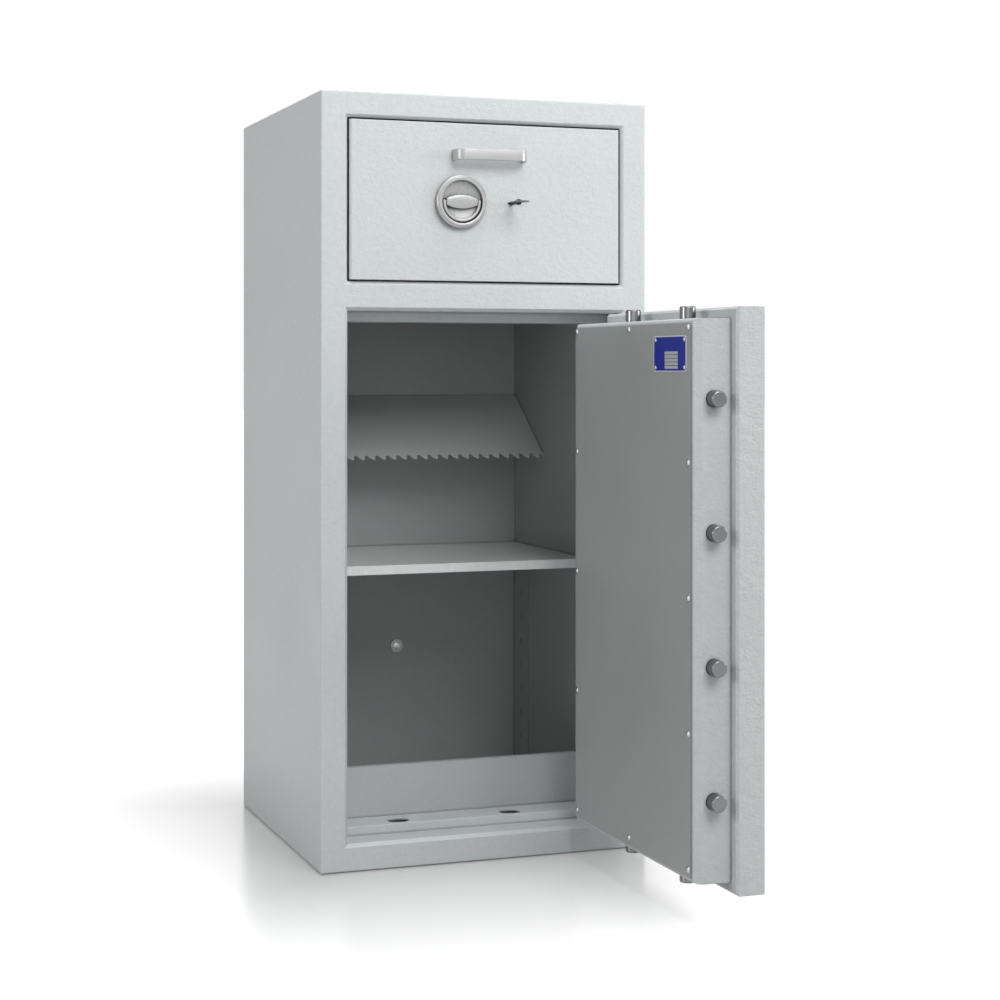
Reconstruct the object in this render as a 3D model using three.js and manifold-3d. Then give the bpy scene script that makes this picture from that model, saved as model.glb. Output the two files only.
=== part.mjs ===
// Drop safe: a deposit drawer above a bolted main door, shown with the door open at a right angle.
// Millimetres, +Z up. The front faces -Y and the origin is the centre of the body's base.
// Pieces are drawn in body coordinates: x from the left side, y back from the front face, z up.
// The door is drawn closed and its group is then turned about the hinge pins.
import * as THREE from 'three';
import { mergeVertices } from 'three/addons/utils/BufferGeometryUtils.js';
import Module from 'manifold-3d';

const wasm = await Module();
wasm.setup();

// Driving sizes of the body
const bodyWidth = 632;
const bodyDepth = 608;
const bodyHeight = 1400;
const wall = 50;
const topRail = 47;
const midRail = 52.5;
const drawerOpeningHeight = 294;
const casingSheet = 3;
const linerSheet = 2;
const edgeRadius = 3;
const frontPlate = 5;
const rebateDepth = 60;
const returnSheet = 4;
const frameBevel = 6;

// Driving sizes of the rebate profiles and the inside
const profileSheet = 3;
const profileDepth = 67;
const sillLip = 17;
const headLip = 18.5;
const lockLip = 14;
const hingeLip = 11;
const retainingHeight = 111;
const retainingFlange = 14;
const slotLength = 42;
const slotWidth = 34;
const slotBehindBolt = 2.5;
const baffleBelowHead = 160.5;
const baffleDrop = 126;
const baffleReach = 174;
const baffleFlange = 30;
const toothPitch = 22;
const toothTip = [8.8, 0];
const toothBeak = [12.3, 7];
const gulletRadius = 5.2;
const gulletMiddle = [16.8, 10.2];
const shelfAboveMiddle = 3.75;
const shelfFront = 150;
const shelfFlange = 17;
const stripWidth = 76;
const stripFoot = 25;
const stripSlot = [5, 14];
const stripPitch = 50;
const anchorHeight = 322;
const anchorRadius = 14;
const anchorBore = 7;

// Driving sizes of the hinges
const hingeStandOff = 12;
const hingeInset = 30.4;
const knuckleRadius = 11.5;
const knuckleLength = 42;
const hingePinRadius = 6;
const leafReach = 50;
const leafSheet = 6;
const hingeFromEnds = 95;
const openAngle = 90;

// Driving sizes of the door
const doorFloorGap = 1.5;
const doorHeadGap = 3.7;
const doorSwingGap = 3.5;
const doorHingeGap = 4;
const doorThickness = 51;
const doorSheet = 4;
const doorFrontRadius = 2;
const doorRearChamfer = 4.5;
const doorFlange = 44;
const boxFreeInset = 20.4;
const boxHingeInset = 7.5;
const boxEndInset = 19.3;
const boxDepth = 64;
const boxSheet = 3;
const boxFreeChamfer = [8.4, 13.8];
const boxRimRadius = 7;
const boxHingeRadius = 3.5;
const boxFlange = 22;
const coverSheet = 2;
const coverFreeInset = 6.4;
const coverHingeInset = 0.5;
const coverEndInset = 7.8;
const mountPlate = 4;

// Driving sizes of the door's bolts
const boltRadius = 13.5;
const boltThrow = 23.5;
const boltLength = 65;
const boltTipChamfer = 2.5;
const boltAxisDepth = 31.4;
const boltPitch = 216.5;
const sideBoltCount = 4;
const endBoltOffsets = [-146, 74];
const endBoltClear = 1;
const guideSheet = 3;
const guideSetBack = 11;
const guideHeight = 51;
const barSheet = 6;
const barWidth = 20;
const followerRadius = 4;

// Driving sizes of the drawer
const drawerGap = 3;
const drawerFrontDepth = 47;
const drawerSheet = 3;
const drawerFrontRadius = 1;
const drawerSideChamfer = 4;
const traySheet = 2;
const traySideGap = 7;
const drawerTravel = 300;
const trayKeep = 10;
const trayFloorRise = 91;
const trayRimDrop = 20;
const flapPivotBack = 70;
const flapPivotDrop = 5;
const flapEndGap = 10;
const flapSideGap = 2;
const flapTip = 28.6;
const flapRodRadius = 4;
const runnerRise = 141;
const runnerDepth = 8;
const runnerOpening = 28;
const runnerSetBack = 2;
const runnerBackGap = 16;
const railShort = 74;
const pullLength = 138;
const pullHeight = 20;
const pullStandOff = 35;
const pullSheet = 4;
const pullBend = 14;
const pullDrop = 62;
const drawerBoltRadius = 8;
const drawerBoltThrow = 16;
const drawerBoltLength = 36;
const drawerBarDepth = 24;
const drawerBarSheet = 5;

// Driving sizes of the two handles and the two locks, which are alike
const handleOffset = 53;
const roseOuter = 50;
const roseInner = 39;
const roseHeight = 13;
const roseFloor = 2;
const hubLength = 60;
const hubHeight = 26;
const hubEnd = 12;
const hubFace = 11.5;
const bailOuter = 37;
const bailInner = 31;
const bailThickness = 6;
const bailPivotRise = 1;
const bailPinRadius = 1.8;
const spindleRadius = 7;
const keyFromHandle = 99;
const lockWidth = 58;
const lockHeight = 76;
const lockDepth = 18;
const drumRadius = 13;
const lockThrow = 9;
const lockBoltHeight = 16;
const camThickness = 5;
const camOffset = 4.5;
const camRim = 17;
const doorCamInner = 20;
const drawerCamInner = 18;
const keyRadius = 3.5;
const keyBit = [12, 2.6, 12];
const keyBowOut = 56;
const keyBow = [27, 22, 3];
const keyBowHole = [11, 7];
const keyCollar = [5.5, 5];

// Clearances between pieces
const seat = 0.3;
const running = 0.3;
const slotPlay = 0.6;
const sideGap = 0.5;

// Places that follow from the driving sizes
const clearLeft = wall;
const clearRight = bodyWidth - wall;
const clearBack = bodyDepth - wall;
const floorTop = wall;
const drawerTop = bodyHeight - topRail;
const drawerBottom = drawerTop - drawerOpeningHeight;
const doorTop = drawerBottom - midRail;
const profileBack = rebateDepth + profileDepth;
const sillTop = floorTop + sillLip;
const headBottom = doorTop - headLip;
const doorMiddle = (floorTop + doorTop) / 2;
const centreX = bodyWidth / 2;
const hingeX = bodyWidth - hingeInset;
const hingeY = -hingeStandOff;
const handleX = centreX - handleOffset;
const doorHandleZ = doorMiddle;
const drawerHandleZ = (drawerBottom + drawerTop) / 2;
const endBoltPlaces = endBoltOffsets.map((offset) => centreX + offset);

// Finishes
const finish = (color, roughness, metalness) => new THREE.MeshStandardMaterial({ color, roughness, metalness });
const greyPaint = finish(0xced3d4, 0.6, 0);
const innerPaint = finish(0xb9bdbe, 0.65, 0);
const concrete = finish(0x9a9890, 0.95, 0);
const platedSheet = finish(0x8f9394, 0.45, 0.4);
const brightSteel = finish(0xb8bcbf, 0.28, 1);
const satinMetal = finish(0xc4c6c6, 0.35, 0.8);
const darkSteel = finish(0x3c3f42, 0.4, 0.9);

// Solids are joined and cut as closed meshes
const signedVolume = (points, corners) => {
  let sum = 0;
  const [a, b, c] = [new THREE.Vector3(), new THREE.Vector3(), new THREE.Vector3()];
  for (let i = 0; i < corners.length; i += 3) {
    a.fromArray(points, corners[i] * 3);
    b.fromArray(points, corners[i + 1] * 3);
    c.fromArray(points, corners[i + 2] * 3);
    sum += a.dot(b.cross(c));
  }
  return sum;
};

const asSolid = (geometry) => {
  geometry.deleteAttribute('normal');
  geometry.deleteAttribute('uv');
  const merged = mergeVertices(geometry, 1e-4);
  const vertProperties = Float32Array.from(merged.attributes.position.array);
  const triVerts = Uint32Array.from(merged.index.array);
  if (signedVolume(vertProperties, triVerts) < 0) triVerts.reverse();
  return new wasm.Manifold(new wasm.Mesh({ numProp: 3, vertProperties, triVerts }));
};

const join = (...solids) => solids.flat().reduce((all, next) => all.add(next));
const cut = (solid, ...tools) => tools.flat().reduce((rest, tool) => rest.subtract(tool), solid);

const block = ([x0, x1], [y0, y1], [z0, z1]) => {
  const box = new THREE.BoxGeometry(x1 - x0, y1 - y0, z1 - z0);
  return asSolid(box.translate((x0 + x1) / 2, (y0 + y1) / 2, (z0 + z1) / 2));
};

// An outline is drawn in two body coordinates and carried along the third
const axes = {
  x: [[0, 1, 0], [0, 0, 1], [1, 0, 0]],
  y: [[1, 0, 0], [0, 0, 1], [0, -1, 0]],
  z: [[1, 0, 0], [0, 1, 0], [0, 0, 1]],
};
const prism = (shape, axis, [from, to], curveSegments = 3) => {
  const body = new THREE.ExtrudeGeometry(shape, { depth: to - from, bevelEnabled: false, curveSegments });
  const basis = axes[axis].map((column) => new THREE.Vector3(...column));
  body.applyMatrix4(new THREE.Matrix4().makeBasis(...basis));
  const start = axis === 'y' ? to : from;
  const shift = { x: [start, 0, 0], y: [0, start, 0], z: [0, 0, start] }[axis];
  return asSolid(body.translate(...shift));
};

const polygon = (points) => new THREE.Shape(points.map(([a, b]) => new THREE.Vector2(a, b)));

const rod = (axis, [a, b], radius, span, sides = 24) => {
  const turn = (2 * Math.PI) / sides;
  const points = Array.from({ length: sides }, (_, i) => [a + radius * Math.cos(i * turn), b + radius * Math.sin(i * turn)]);
  return prism(polygon(points), axis, span);
};

// Rectangle whose four corners are each square, rounded or chamfered: [low low, high low, high high, low high].
// A bend wider than wideBend gets more steps
const wideBend = 5;
const cornered = ([a0, a1], [b0, b1], corners) => {
  const places = [[a0, b0, 1, 1], [a1, b0, -1, 1], [a1, b1, -1, -1], [a0, b1, 1, -1]];
  const points = places.flatMap(([a, b, da, db], i) => {
    const { radius = 0, chamfer } = corners[i] ?? {};
    const before = i % 2 === 0 ? [0, 1] : [1, 0];
    const after = i % 2 === 0 ? [1, 0] : [0, 1];
    if (chamfer) {
      const [cutA, cutB] = chamfer;
      return [before, after].map(([p, q]) => [a + da * cutA * p, b + db * cutB * q]);
    }
    if (radius) {
      const steps = (radius > wideBend ? [0, 18, 36, 54, 72, 90] : [0, 30, 60, 90]).map((deg) => THREE.MathUtils.degToRad(deg));
      return steps.map((t) => {
        const away = radius * (1 - Math.sin(t));
        const along = radius * (1 - Math.cos(t));
        return i % 2 === 0 ? [a + da * along, b + db * away] : [a + da * away, b + db * along];
      });
    }
    return [[a, b]];
  });
  return polygon(points);
};

// Four-sided funnel between a rectangle in the front plane and a smaller one behind it
const funnel = ([x0, x1], [z0, z1], spread, [y0, y1]) => {
  const ring = (grow, y) => [[x0 - grow, z0 - grow], [x1 + grow, z0 - grow], [x1 + grow, z1 + grow], [x0 - grow, z1 + grow]]
    .map(([x, z]) => [x, y, z]);
  const body = new THREE.BufferGeometry();
  body.setAttribute('position', new THREE.Float32BufferAttribute([...ring(spread, y0), ...ring(0, y1)].flat(), 3));
  const sides = [0, 1, 2, 3].flatMap((i) => {
    const j = (i + 1) % 4;
    return [i, j, j + 4, i, j + 4, i + 4];
  });
  body.setIndex([...sides, 0, 2, 1, 0, 3, 2, 4, 5, 6, 4, 6, 7]);
  return asSolid(body);
};

// Pieces go into the groups as named meshes
const safe = new THREE.Group();
const body = new THREE.Group();
const hinge = new THREE.Group();
const door = new THREE.Group();
body.position.set(-bodyWidth / 2, -bodyDepth / 2, 0);
hinge.position.set(hingeX, hingeY, 0);
hinge.rotation.z = THREE.MathUtils.degToRad(openAngle);
door.position.set(-hingeX, -hingeY, 0);
hinge.add(door);
body.add(hinge);
safe.add(body);

const place = (group, name, solid, material) => {
  const { vertProperties, triVerts } = solid.getMesh();
  const geometry = new THREE.BufferGeometry();
  geometry.setAttribute('position', new THREE.BufferAttribute(Float32Array.from(vertProperties), 3));
  geometry.setIndex(new THREE.BufferAttribute(Uint32Array.from(triVerts), 1));
  const mesh = new THREE.Mesh(geometry, material);
  mesh.name = name;
  group.add(mesh);
};

// Body: front frame with a bevelled edge round each opening, and folded returns behind it
const clearAcross = [clearLeft, clearRight];
const openingHeights = [[floorTop, doorTop], [drawerBottom, drawerTop]];
const round = { radius: edgeRadius };
const faceOutline = cornered([0, bodyWidth], [0, bodyHeight], [round, round, round, round]);
const facePlan = cornered([0, bodyWidth], [0, frontPlate], [round, round, {}, {}]);
const faceSide = cornered([0, frontPlate], [0, bodyHeight], [round, {}, {}, round]);
const grown = ([low, high], by) => [low - by, high + by];
const drawerBoltY = drawerBarDepth + drawerBarSheet / 2;
const keepHole = rod('x', [drawerBoltY, drawerHandleZ], drawerBoltRadius + sideGap, grown(clearAcross, wall / 2));

const face = prism(facePlan, 'z', [0, bodyHeight])
  .intersect(prism(faceSide, 'x', [0, bodyWidth]))
  .intersect(prism(faceOutline, 'y', [0, frontPlate]));
const returns = openingHeights.map((heights) => block(grown(clearAcross, returnSheet), [frontPlate, rebateDepth], grown(heights, returnSheet)));
const passages = openingHeights.map((heights) => block(clearAcross, [-1, rebateDepth + 1], heights));
const bevels = openingHeights.map((heights) => funnel(clearAcross, heights, frameBevel, [0, frameBevel]));
place(body, 'front_frame', cut(join(face, returns), passages, bevels, keepHole), greyPaint);

// Body: jacket of sheet behind the front frame, its concrete filling and the inner lining
const anchorAt = [centreX, anchorHeight];
const throughBack = [clearBack - linerSheet, bodyDepth + 1];
const jacketPlan = cornered([0, bodyWidth], [frontPlate, bodyDepth], [{}, {}, round, round]);
const jacketSide = cornered([frontPlate, bodyDepth], [0, bodyHeight], [{}, round, round, {}]);
const jacket = prism(jacketPlan, 'z', [0, bodyHeight])
  .intersect(prism(jacketSide, 'x', [0, bodyWidth]))
  .intersect(prism(faceOutline, 'y', [frontPlate, bodyDepth]));
const acrossInCasing = [casingSheet, bodyWidth - casingSheet];
const heightInCasing = [casingSheet, bodyHeight - casingSheet];
const jacketHollow = block(acrossInCasing, [0, bodyDepth - casingSheet], heightInCasing);
place(body, 'outer_casing', cut(jacket, jacketHollow, rod('y', anchorAt, anchorBore, throughBack)), greyPaint);

const linerAcross = grown(clearAcross, linerSheet);
const linerHeights = [floorTop - linerSheet, drawerTop + linerSheet];
const linerBack = clearBack + linerSheet;
const filling = block(acrossInCasing, [rebateDepth, bodyDepth - casingSheet], heightInCasing);
const linerRoom = block(linerAcross, [0, linerBack], linerHeights);
place(body, 'wall_infill', cut(filling, linerRoom, rod('y', anchorAt, anchorRadius + seat, throughBack)), concrete);

const liner = block(linerAcross, [rebateDepth, linerBack], linerHeights);
const linerHollow = block(clearAcross, [0, clearBack], [floorTop, drawerTop]);
place(body, 'inner_liner', cut(liner, linerHollow, rod('y', anchorAt, anchorRadius + seat, throughBack)), innerPaint);

const anchorProud = 3;
const sleeve = rod('y', anchorAt, anchorRadius, [clearBack - anchorProud, bodyDepth - casingSheet]);
place(body, 'anchor_sleeve', cut(sleeve, rod('y', anchorAt, anchorBore, [0, bodyDepth])), satinMetal);

// Body: folded profiles behind the rebate, with slots that take the door's bolts
const hollowIn = (outer, sheet) => outer.map(([low, high]) => [low + sheet, high - sheet]);
const boltY = doorThickness + boltAxisDepth;
const slotAt = (x, heights) => {
  const straight = (slotLength - slotWidth) / 2;
  const slotY = boltY + slotBehindBolt;
  const ends = [x - straight, x + straight].map((end) => rod('z', [end, slotY], slotWidth / 2, heights, 16));
  return join(ends, block([x - straight, x + straight], grown([slotY, slotY], slotWidth / 2), heights));
};
const profileY = [rebateDepth, profileBack];
const sillSpan = [floorTop, sillTop];
const sillOutline = cornered(profileY, sillSpan, [{}, {}, {}, { radius: 2 }]);
const sillHollow = block(grown(clearAcross, 1), hollowIn([profileY], profileSheet)[0], [floorTop - 1, sillTop - profileSheet]);
const sillSlots = endBoltPlaces.map((x) => slotAt(x, sillSpan));
place(body, 'door_sill', cut(prism(sillOutline, 'x', clearAcross), sillHollow, sillSlots), greyPaint);

const headSpan = [headBottom, drawerBottom];
const headHollow = block(grown(clearAcross, 1), ...hollowIn([profileY, headSpan], profileSheet));
const headSlots = endBoltPlaces.map((x) => slotAt(x, [headBottom - 1, headBottom + headLip]));
place(body, 'head_beam', cut(block(clearAcross, profileY, headSpan), headHollow, headSlots), greyPaint);

const jambSpan = [sillTop, headBottom];
const sideBoltHeights = Array.from({ length: sideBoltCount }, (_, i) => doorMiddle + (i - (sideBoltCount - 1) / 2) * boltPitch);
const lockHollow = block([clearLeft - 1, clearLeft + lockLip - profileSheet], ...hollowIn([profileY, grown(jambSpan, profileSheet + 1)], profileSheet));
const lockSlots = sideBoltHeights.map((z) => {
  const room = slotWidth / 2;
  return block([clearLeft, clearLeft + lockLip + 1], grown([boltY, boltY], room), grown([z, z], room + 1));
});
place(body, 'lock_side_jamb', cut(block([clearLeft, clearLeft + lockLip], profileY, jambSpan), lockHollow, lockSlots), greyPaint);

const hingeHollow = block([clearRight - hingeLip + profileSheet, clearRight + 1], ...hollowIn([profileY, grown(jambSpan, profileSheet + 1)], profileSheet));
place(body, 'hinge_side_jamb', cut(block([clearRight - hingeLip, clearRight], profileY, jambSpan), hingeHollow), greyPaint);

// Body: sill plate that keeps the goods back from the door
const retainingSheet = 2;
const retainingTop = floorTop + retainingHeight;
const riser = block(clearAcross, [profileBack, profileBack + retainingSheet], [floorTop, retainingTop]);
const riserFlange = block(clearAcross, [profileBack, profileBack + retainingFlange], [retainingTop - retainingSheet, retainingTop]);
place(body, 'retaining_sill', join(riser, riserFlange), innerPaint);

// Body: sloping drop plate with a hooked saw edge, so that goods can't be fished back up
const baffleSheet = 2;
const baffleTop = doorTop - baffleBelowHead;
const baffleSpan = clearRight - clearLeft - 2 * sideGap;
const slope = Math.atan2(baffleDrop, baffleReach);
const slopeLength = Math.hypot(baffleDrop, baffleReach);
const sawEdge = () => {
  const count = Math.floor(baffleSpan / toothPitch);
  const margin = (baffleSpan - count * toothPitch) / 2;
  const points = [[0, 0], [0, slopeLength - 4]];
  for (let i = 0; i < count; i += 1) {
    const start = margin + i * toothPitch;
    const at = ([along, up]) => [start + along, slopeLength - up];
    const [a, b] = at(gulletMiddle);
    const bite = [145, 180, 215, 250, 290, 325, 360, 375].map((deg) => {
      const t = THREE.MathUtils.degToRad(deg);
      return [a + gulletRadius * Math.cos(t), b + gulletRadius * Math.sin(t)];
    });
    const [tipAlong, tipUp] = at(toothTip);
    points.push([tipAlong - 1, tipUp - 0.4], [tipAlong, tipUp], [tipAlong + 0.8, tipUp - 0.8], at(toothBeak), ...bite);
  }
  points.push([baffleSpan, slopeLength - 1.5], [baffleSpan, 0]);
  return polygon(points);
};
const sloped = new THREE.ExtrudeGeometry(sawEdge(), { depth: baffleSheet, bevelEnabled: false });
const acrossSlope = new THREE.Vector3(1, 0, 0);
const downSlope = new THREE.Vector3(0, -Math.cos(slope), -Math.sin(slope));
const outOfSlope = acrossSlope.clone().cross(downSlope);
sloped.applyMatrix4(new THREE.Matrix4().makeBasis(acrossSlope, downSlope, outOfSlope));
sloped.translate(clearLeft + sideGap, clearBack - seat - baffleSheet, baffleTop);
const bafflePlate = asSolid(sloped);
const baffleBack = block(grown(clearAcross, -sideGap), [clearBack - seat - baffleSheet, clearBack - seat], [baffleTop - baffleFlange, baffleTop]);
place(body, 'drop_baffle', join(bafflePlate, baffleBack), innerPaint);

// Body: shelf with folded edges, carried by a slotted strip on each side wall
const shelfSheet = 2;
const shelfTop = doorMiddle + shelfAboveMiddle;
const shelfAcross = grown(clearAcross, -sideGap);
const shelfBack = clearBack - 1;
const shelfBox = block(shelfAcross, [shelfFront, shelfBack], [shelfTop - shelfFlange, shelfTop]);
const shelfUnder = block(grown(shelfAcross, -shelfSheet), [shelfFront + shelfSheet, shelfBack - shelfSheet], [0, shelfTop - shelfSheet]);
const stripSheet = 2;
const stripY = [clearBack - 2 - stripWidth, clearBack - 2];
const stripTop = shelfTop - shelfFlange - seat;
const tabLength = 10;
place(body, 'storage_shelf', cut(shelfBox, shelfUnder), innerPaint);
for (const [side, wallX, inward] of [['left', clearLeft, 1], ['right', clearRight, -1]]) {
  const ordered = (depth) => [wallX, wallX + inward * depth].sort((p, q) => p - q);
  const strip = block(ordered(stripSheet), stripY, [floorTop + stripFoot, stripTop]);
  const tab = block(ordered(tabLength), stripY, [stripTop - shelfSheet, stripTop]);
  const middle = (stripY[0] + stripY[1]) / 2;
  const slotCount = Math.floor((stripTop - floorTop - stripFoot) / stripPitch) - 1;
  const slots = Array.from({ length: slotCount }, (_, i) => {
    const z = floorTop + stripFoot + (i + 1) * stripPitch;
    return block(grown([wallX, wallX], tabLength), grown([middle, middle], stripSlot[0] / 2), grown([z, z], stripSlot[1] / 2));
  });
  place(body, `shelf_strip_${side}`, cut(join(strip, tab), slots), innerPaint);
}

// Body: channel runners for the drawer
const runnerSheet = 2;
const runnerHeight = drawerBottom + runnerRise;
const runnerY = [rebateDepth + runnerSetBack, clearBack - runnerBackGap];
const runnerZ = grown([runnerHeight, runnerHeight], runnerOpening / 2 + runnerSheet);
for (const [side, wallX, inward] of [['left', clearLeft, 1], ['right', clearRight, -1]]) {
  const ordered = (a, b) => [wallX + inward * a, wallX + inward * b].sort((p, q) => p - q);
  const channel = block(ordered(0, runnerDepth), runnerY, runnerZ);
  const inside = block(ordered(runnerSheet, runnerDepth + 1), grown(runnerY, 1), grown(runnerZ, -runnerSheet));
  place(body, `drawer_runner_${side}`, cut(channel, inside), platedSheet);
}

// Hinges: a knuckle welded to the frame, a pin, and a knuckle with a leaf on the door
const hingeAt = [hingeX, hingeY];
const hingeNames = ['bottom', 'top'];
const washerGap = 0.5;
const pinHead = 4;
const hingeHeight = 2 * knuckleLength + washerGap;
[floorTop + hingeFromEnds, doorTop - hingeFromEnds - hingeHeight].forEach((z, i) => {
  const low = [z, z + knuckleLength];
  const high = [z + knuckleLength + washerGap, z + 2 * knuckleLength + washerGap];
  const pinBore = rod('z', hingeAt, hingePinRadius + slotPlay / 2, grown([low[0], high[1]], 1));
  const lug = block(grown([hingeX, hingeX], knuckleRadius - 2), [hingeY, 0], low);
  place(body, `hinge_knuckle_${hingeNames[i]}`, cut(join(rod('z', hingeAt, knuckleRadius, low), lug), pinBore), greyPaint);
  const shaft = rod('z', hingeAt, hingePinRadius, [low[0], high[1] + seat]);
  const head = rod('z', hingeAt, hingePinRadius + 2, [high[1] + seat, high[1] + seat + pinHead]);
  place(body, `hinge_pin_${hingeNames[i]}`, join(shaft, head), brightSteel);
  const leafRear = -seat;
  const leaf = block([clearRight - doorHingeGap - leafReach, hingeX], [leafRear - leafSheet, leafRear], high);
  place(door, `hinge_leaf_${hingeNames[i]}`, cut(join(rod('z', hingeAt, knuckleRadius, high), leaf), pinBore), greyPaint);
});

// Door: steel shell with a concrete core
const doorAcross = [clearLeft + doorSwingGap, clearRight - doorHingeGap];
const doorHeights = [floorTop + doorFloorGap, doorTop - doorHeadGap];
const doorY = [0, doorThickness];
const soft = { radius: doorFrontRadius };
const cutOff = { chamfer: [doorRearChamfer, doorRearChamfer] };
const shellPlan = cornered(doorAcross, doorY, [soft, soft, { radius: 2 }, cutOff]);
const shellSide = cornered(doorY, doorHeights, [soft, cutOff, cutOff, soft]);
const shellBody = prism(shellPlan, 'z', doorHeights).intersect(prism(shellSide, 'x', doorAcross));
const coreAcross = grown(doorAcross, -doorSheet);
const coreHeights = grown(doorHeights, -doorSheet);
const coreY = [doorSheet, doorThickness - doorSheet - 1];
const shellHollow = block(coreAcross, coreY, coreHeights);
const doorWindow = block(grown(doorAcross, -doorFlange), [coreY[1] - 1, doorThickness + 1], grown(doorHeights, -doorFlange));
const spindleAt = (z) => [handleX, z];
const keyX = handleX + keyFromHandle;
const spindleBore = (z, span) => rod('y', spindleAt(z), spindleRadius + running, span);
const keyClear = drumRadius - 0.5;
const keyTube = (z, span) => rod('y', [keyX, z], keyClear, span);
const keyhole = (z, [y0, y1]) => {
  const halfBit = keyBit[0] / 2 + slotPlay;
  const halfThick = keyBit[1] / 2 + slotPlay / 2;
  return join(
    rod('y', [keyX, z], keyRadius + running + 0.2, [y0, y1]),
    block(grown([keyX, keyX], halfBit), [y0, y1], grown([z, z], halfThick)),
  );
};
place(door, 'door_shell', cut(
  shellBody,
  shellHollow,
  doorWindow,
  spindleBore(doorHandleZ, [-1, doorSheet + 1]),
  keyhole(doorHandleZ, [-1, doorSheet + 1]),
), greyPaint);

const core = block(grown(coreAcross, -seat), grown(coreY, -seat), grown(coreHeights, -seat));
place(door, 'door_infill', cut(
  core,
  rod('y', spindleAt(doorHandleZ), spindleRadius + 2, doorY),
  keyTube(doorHandleZ, doorY),
), concrete);

// Door: boltwork box of folded sheet, with a flat cover laid on its rim
const boxAcross = [doorAcross[0] + boxFreeInset, doorAcross[1] - boxHingeInset];
const boxHeights = grown(doorHeights, -boxEndInset);
const boxY = [doorThickness + seat, doorThickness + boxDepth];
const boxSolid = (less) => {
  const deep = [boxY[0] - less, boxY[1] - less];
  const bent = { radius: boxRimRadius - less };
  const tight = { radius: boxHingeRadius - less };
  const slanted = { chamfer: boxFreeChamfer.map((leg) => leg - less / 2) };
  const plan = cornered(grown(boxAcross, -less), deep, [{}, {}, tight, slanted]);
  const side = cornered(deep, grown(boxHeights, -less), [{}, bent, bent, {}]);
  return prism(plan, 'z', grown(boxHeights, -less)).intersect(prism(side, 'x', grown(boxAcross, -less)));
};
const boxWindow = block(grown(boxAcross, -boxFlange), [boxY[1] - boxSheet - 1, boxY[1] + 1], grown(boxHeights, -boxFlange));
const sideHole = (z, span, room) => rod('x', [boltY, z], boltRadius + room, span);
const endHole = (x, span, room) => rod('z', [x, boltY], boltRadius + room, span);
const boxHoles = [
  ...sideBoltHeights.map((z) => sideHole(z, [boxAcross[0] - 1, boxAcross[0] + boxSheet + 1], sideGap)),
  ...endBoltPlaces.map((x) => endHole(x, grown(boxHeights, 1), sideGap)),
];
place(door, 'bolt_box', cut(boxSolid(0), boxSolid(boxSheet), boxWindow, boxHoles), greyPaint);

const coverY = [boxY[1] + seat, boxY[1] + seat + coverSheet];
const coverCorner = { radius: 3 };
const coverAcross = [boxAcross[0] + boxFreeChamfer[0] + coverFreeInset, boxAcross[1] - coverHingeInset];
const coverHeights = grown(boxHeights, -coverEndInset);
const coverOutline = cornered(coverAcross, coverHeights, [coverCorner, coverCorner, coverCorner, coverCorner]);
place(door, 'boltwork_cover', prism(coverOutline, 'y', coverY), platedSheet);

// Door: mounting plate with the three guide angles that the bolts run in
const plateInset = boxSheet + 2.5;
const plateY = [doorThickness + seat, doorThickness + seat + mountPlate];
const guideY = [plateY[1], plateY[1] + guideHeight];
const sideGuideX = [boxAcross[0] + guideSetBack, boxAcross[0] + guideSetBack + guideSheet];
const guideEnds = grown([endBoltPlaces[0], endBoltPlaces[1]], barWidth);
const topGuideZ = [boxHeights[1] - guideSetBack - guideSheet, boxHeights[1] - guideSetBack];
const bottomGuideZ = [boxHeights[0] + guideSetBack, boxHeights[0] + guideSetBack + guideSheet];
const sideSpan = grown([sideBoltHeights[0], sideBoltHeights[sideBoltCount - 1]], boltRadius + barWidth);
const guides = [
  block(sideGuideX, guideY, sideSpan),
  block(guideEnds, guideY, topGuideZ),
  block(guideEnds, guideY, bottomGuideZ),
];
const guideHoles = [
  ...sideBoltHeights.map((z) => sideHole(z, grown(sideGuideX, 1), running)),
  ...endBoltPlaces.map((x) => endHole(x, grown(boxHeights, -guideSetBack + 2), running)),
];
place(door, 'boltwork_plate', cut(
  join(block(grown(boxAcross, -plateInset), plateY, grown(boxHeights, -plateInset)), cut(join(guides), guideHoles)),
  spindleBore(doorHandleZ, grown(plateY, 1)),
  keyTube(doorHandleZ, grown(plateY, 1)),
), platedSheet);

// Round bolt with a bevelled tip, pointing along an axis: the tip is at the start of the span
const bolt = (axis, centre, radius, from, towards, length) => {
  const far = from - towards * length;
  const bevel = Math.min(boltTipChamfer, radius / 2);
  const profile = [[0, 0], [radius - bevel, 0], [radius, bevel], [radius, length], [0, length]];
  const turned = new THREE.LatheGeometry(profile.map(([r, y]) => new THREE.Vector2(r, y)), 28);
  const along = new THREE.Vector3(axis === 'x' ? -towards : 0, 0, axis === 'z' ? -towards : 0);
  const out = new THREE.Vector3(0, 1, 0);
  turned.applyMatrix4(new THREE.Matrix4().makeBasis(out, along, out.clone().cross(along)));
  const origin = axis === 'x' ? [from, ...centre] : [centre[0], centre[1], from];
  return { solid: asSolid(turned.translate(...origin)), far };
};

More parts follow.
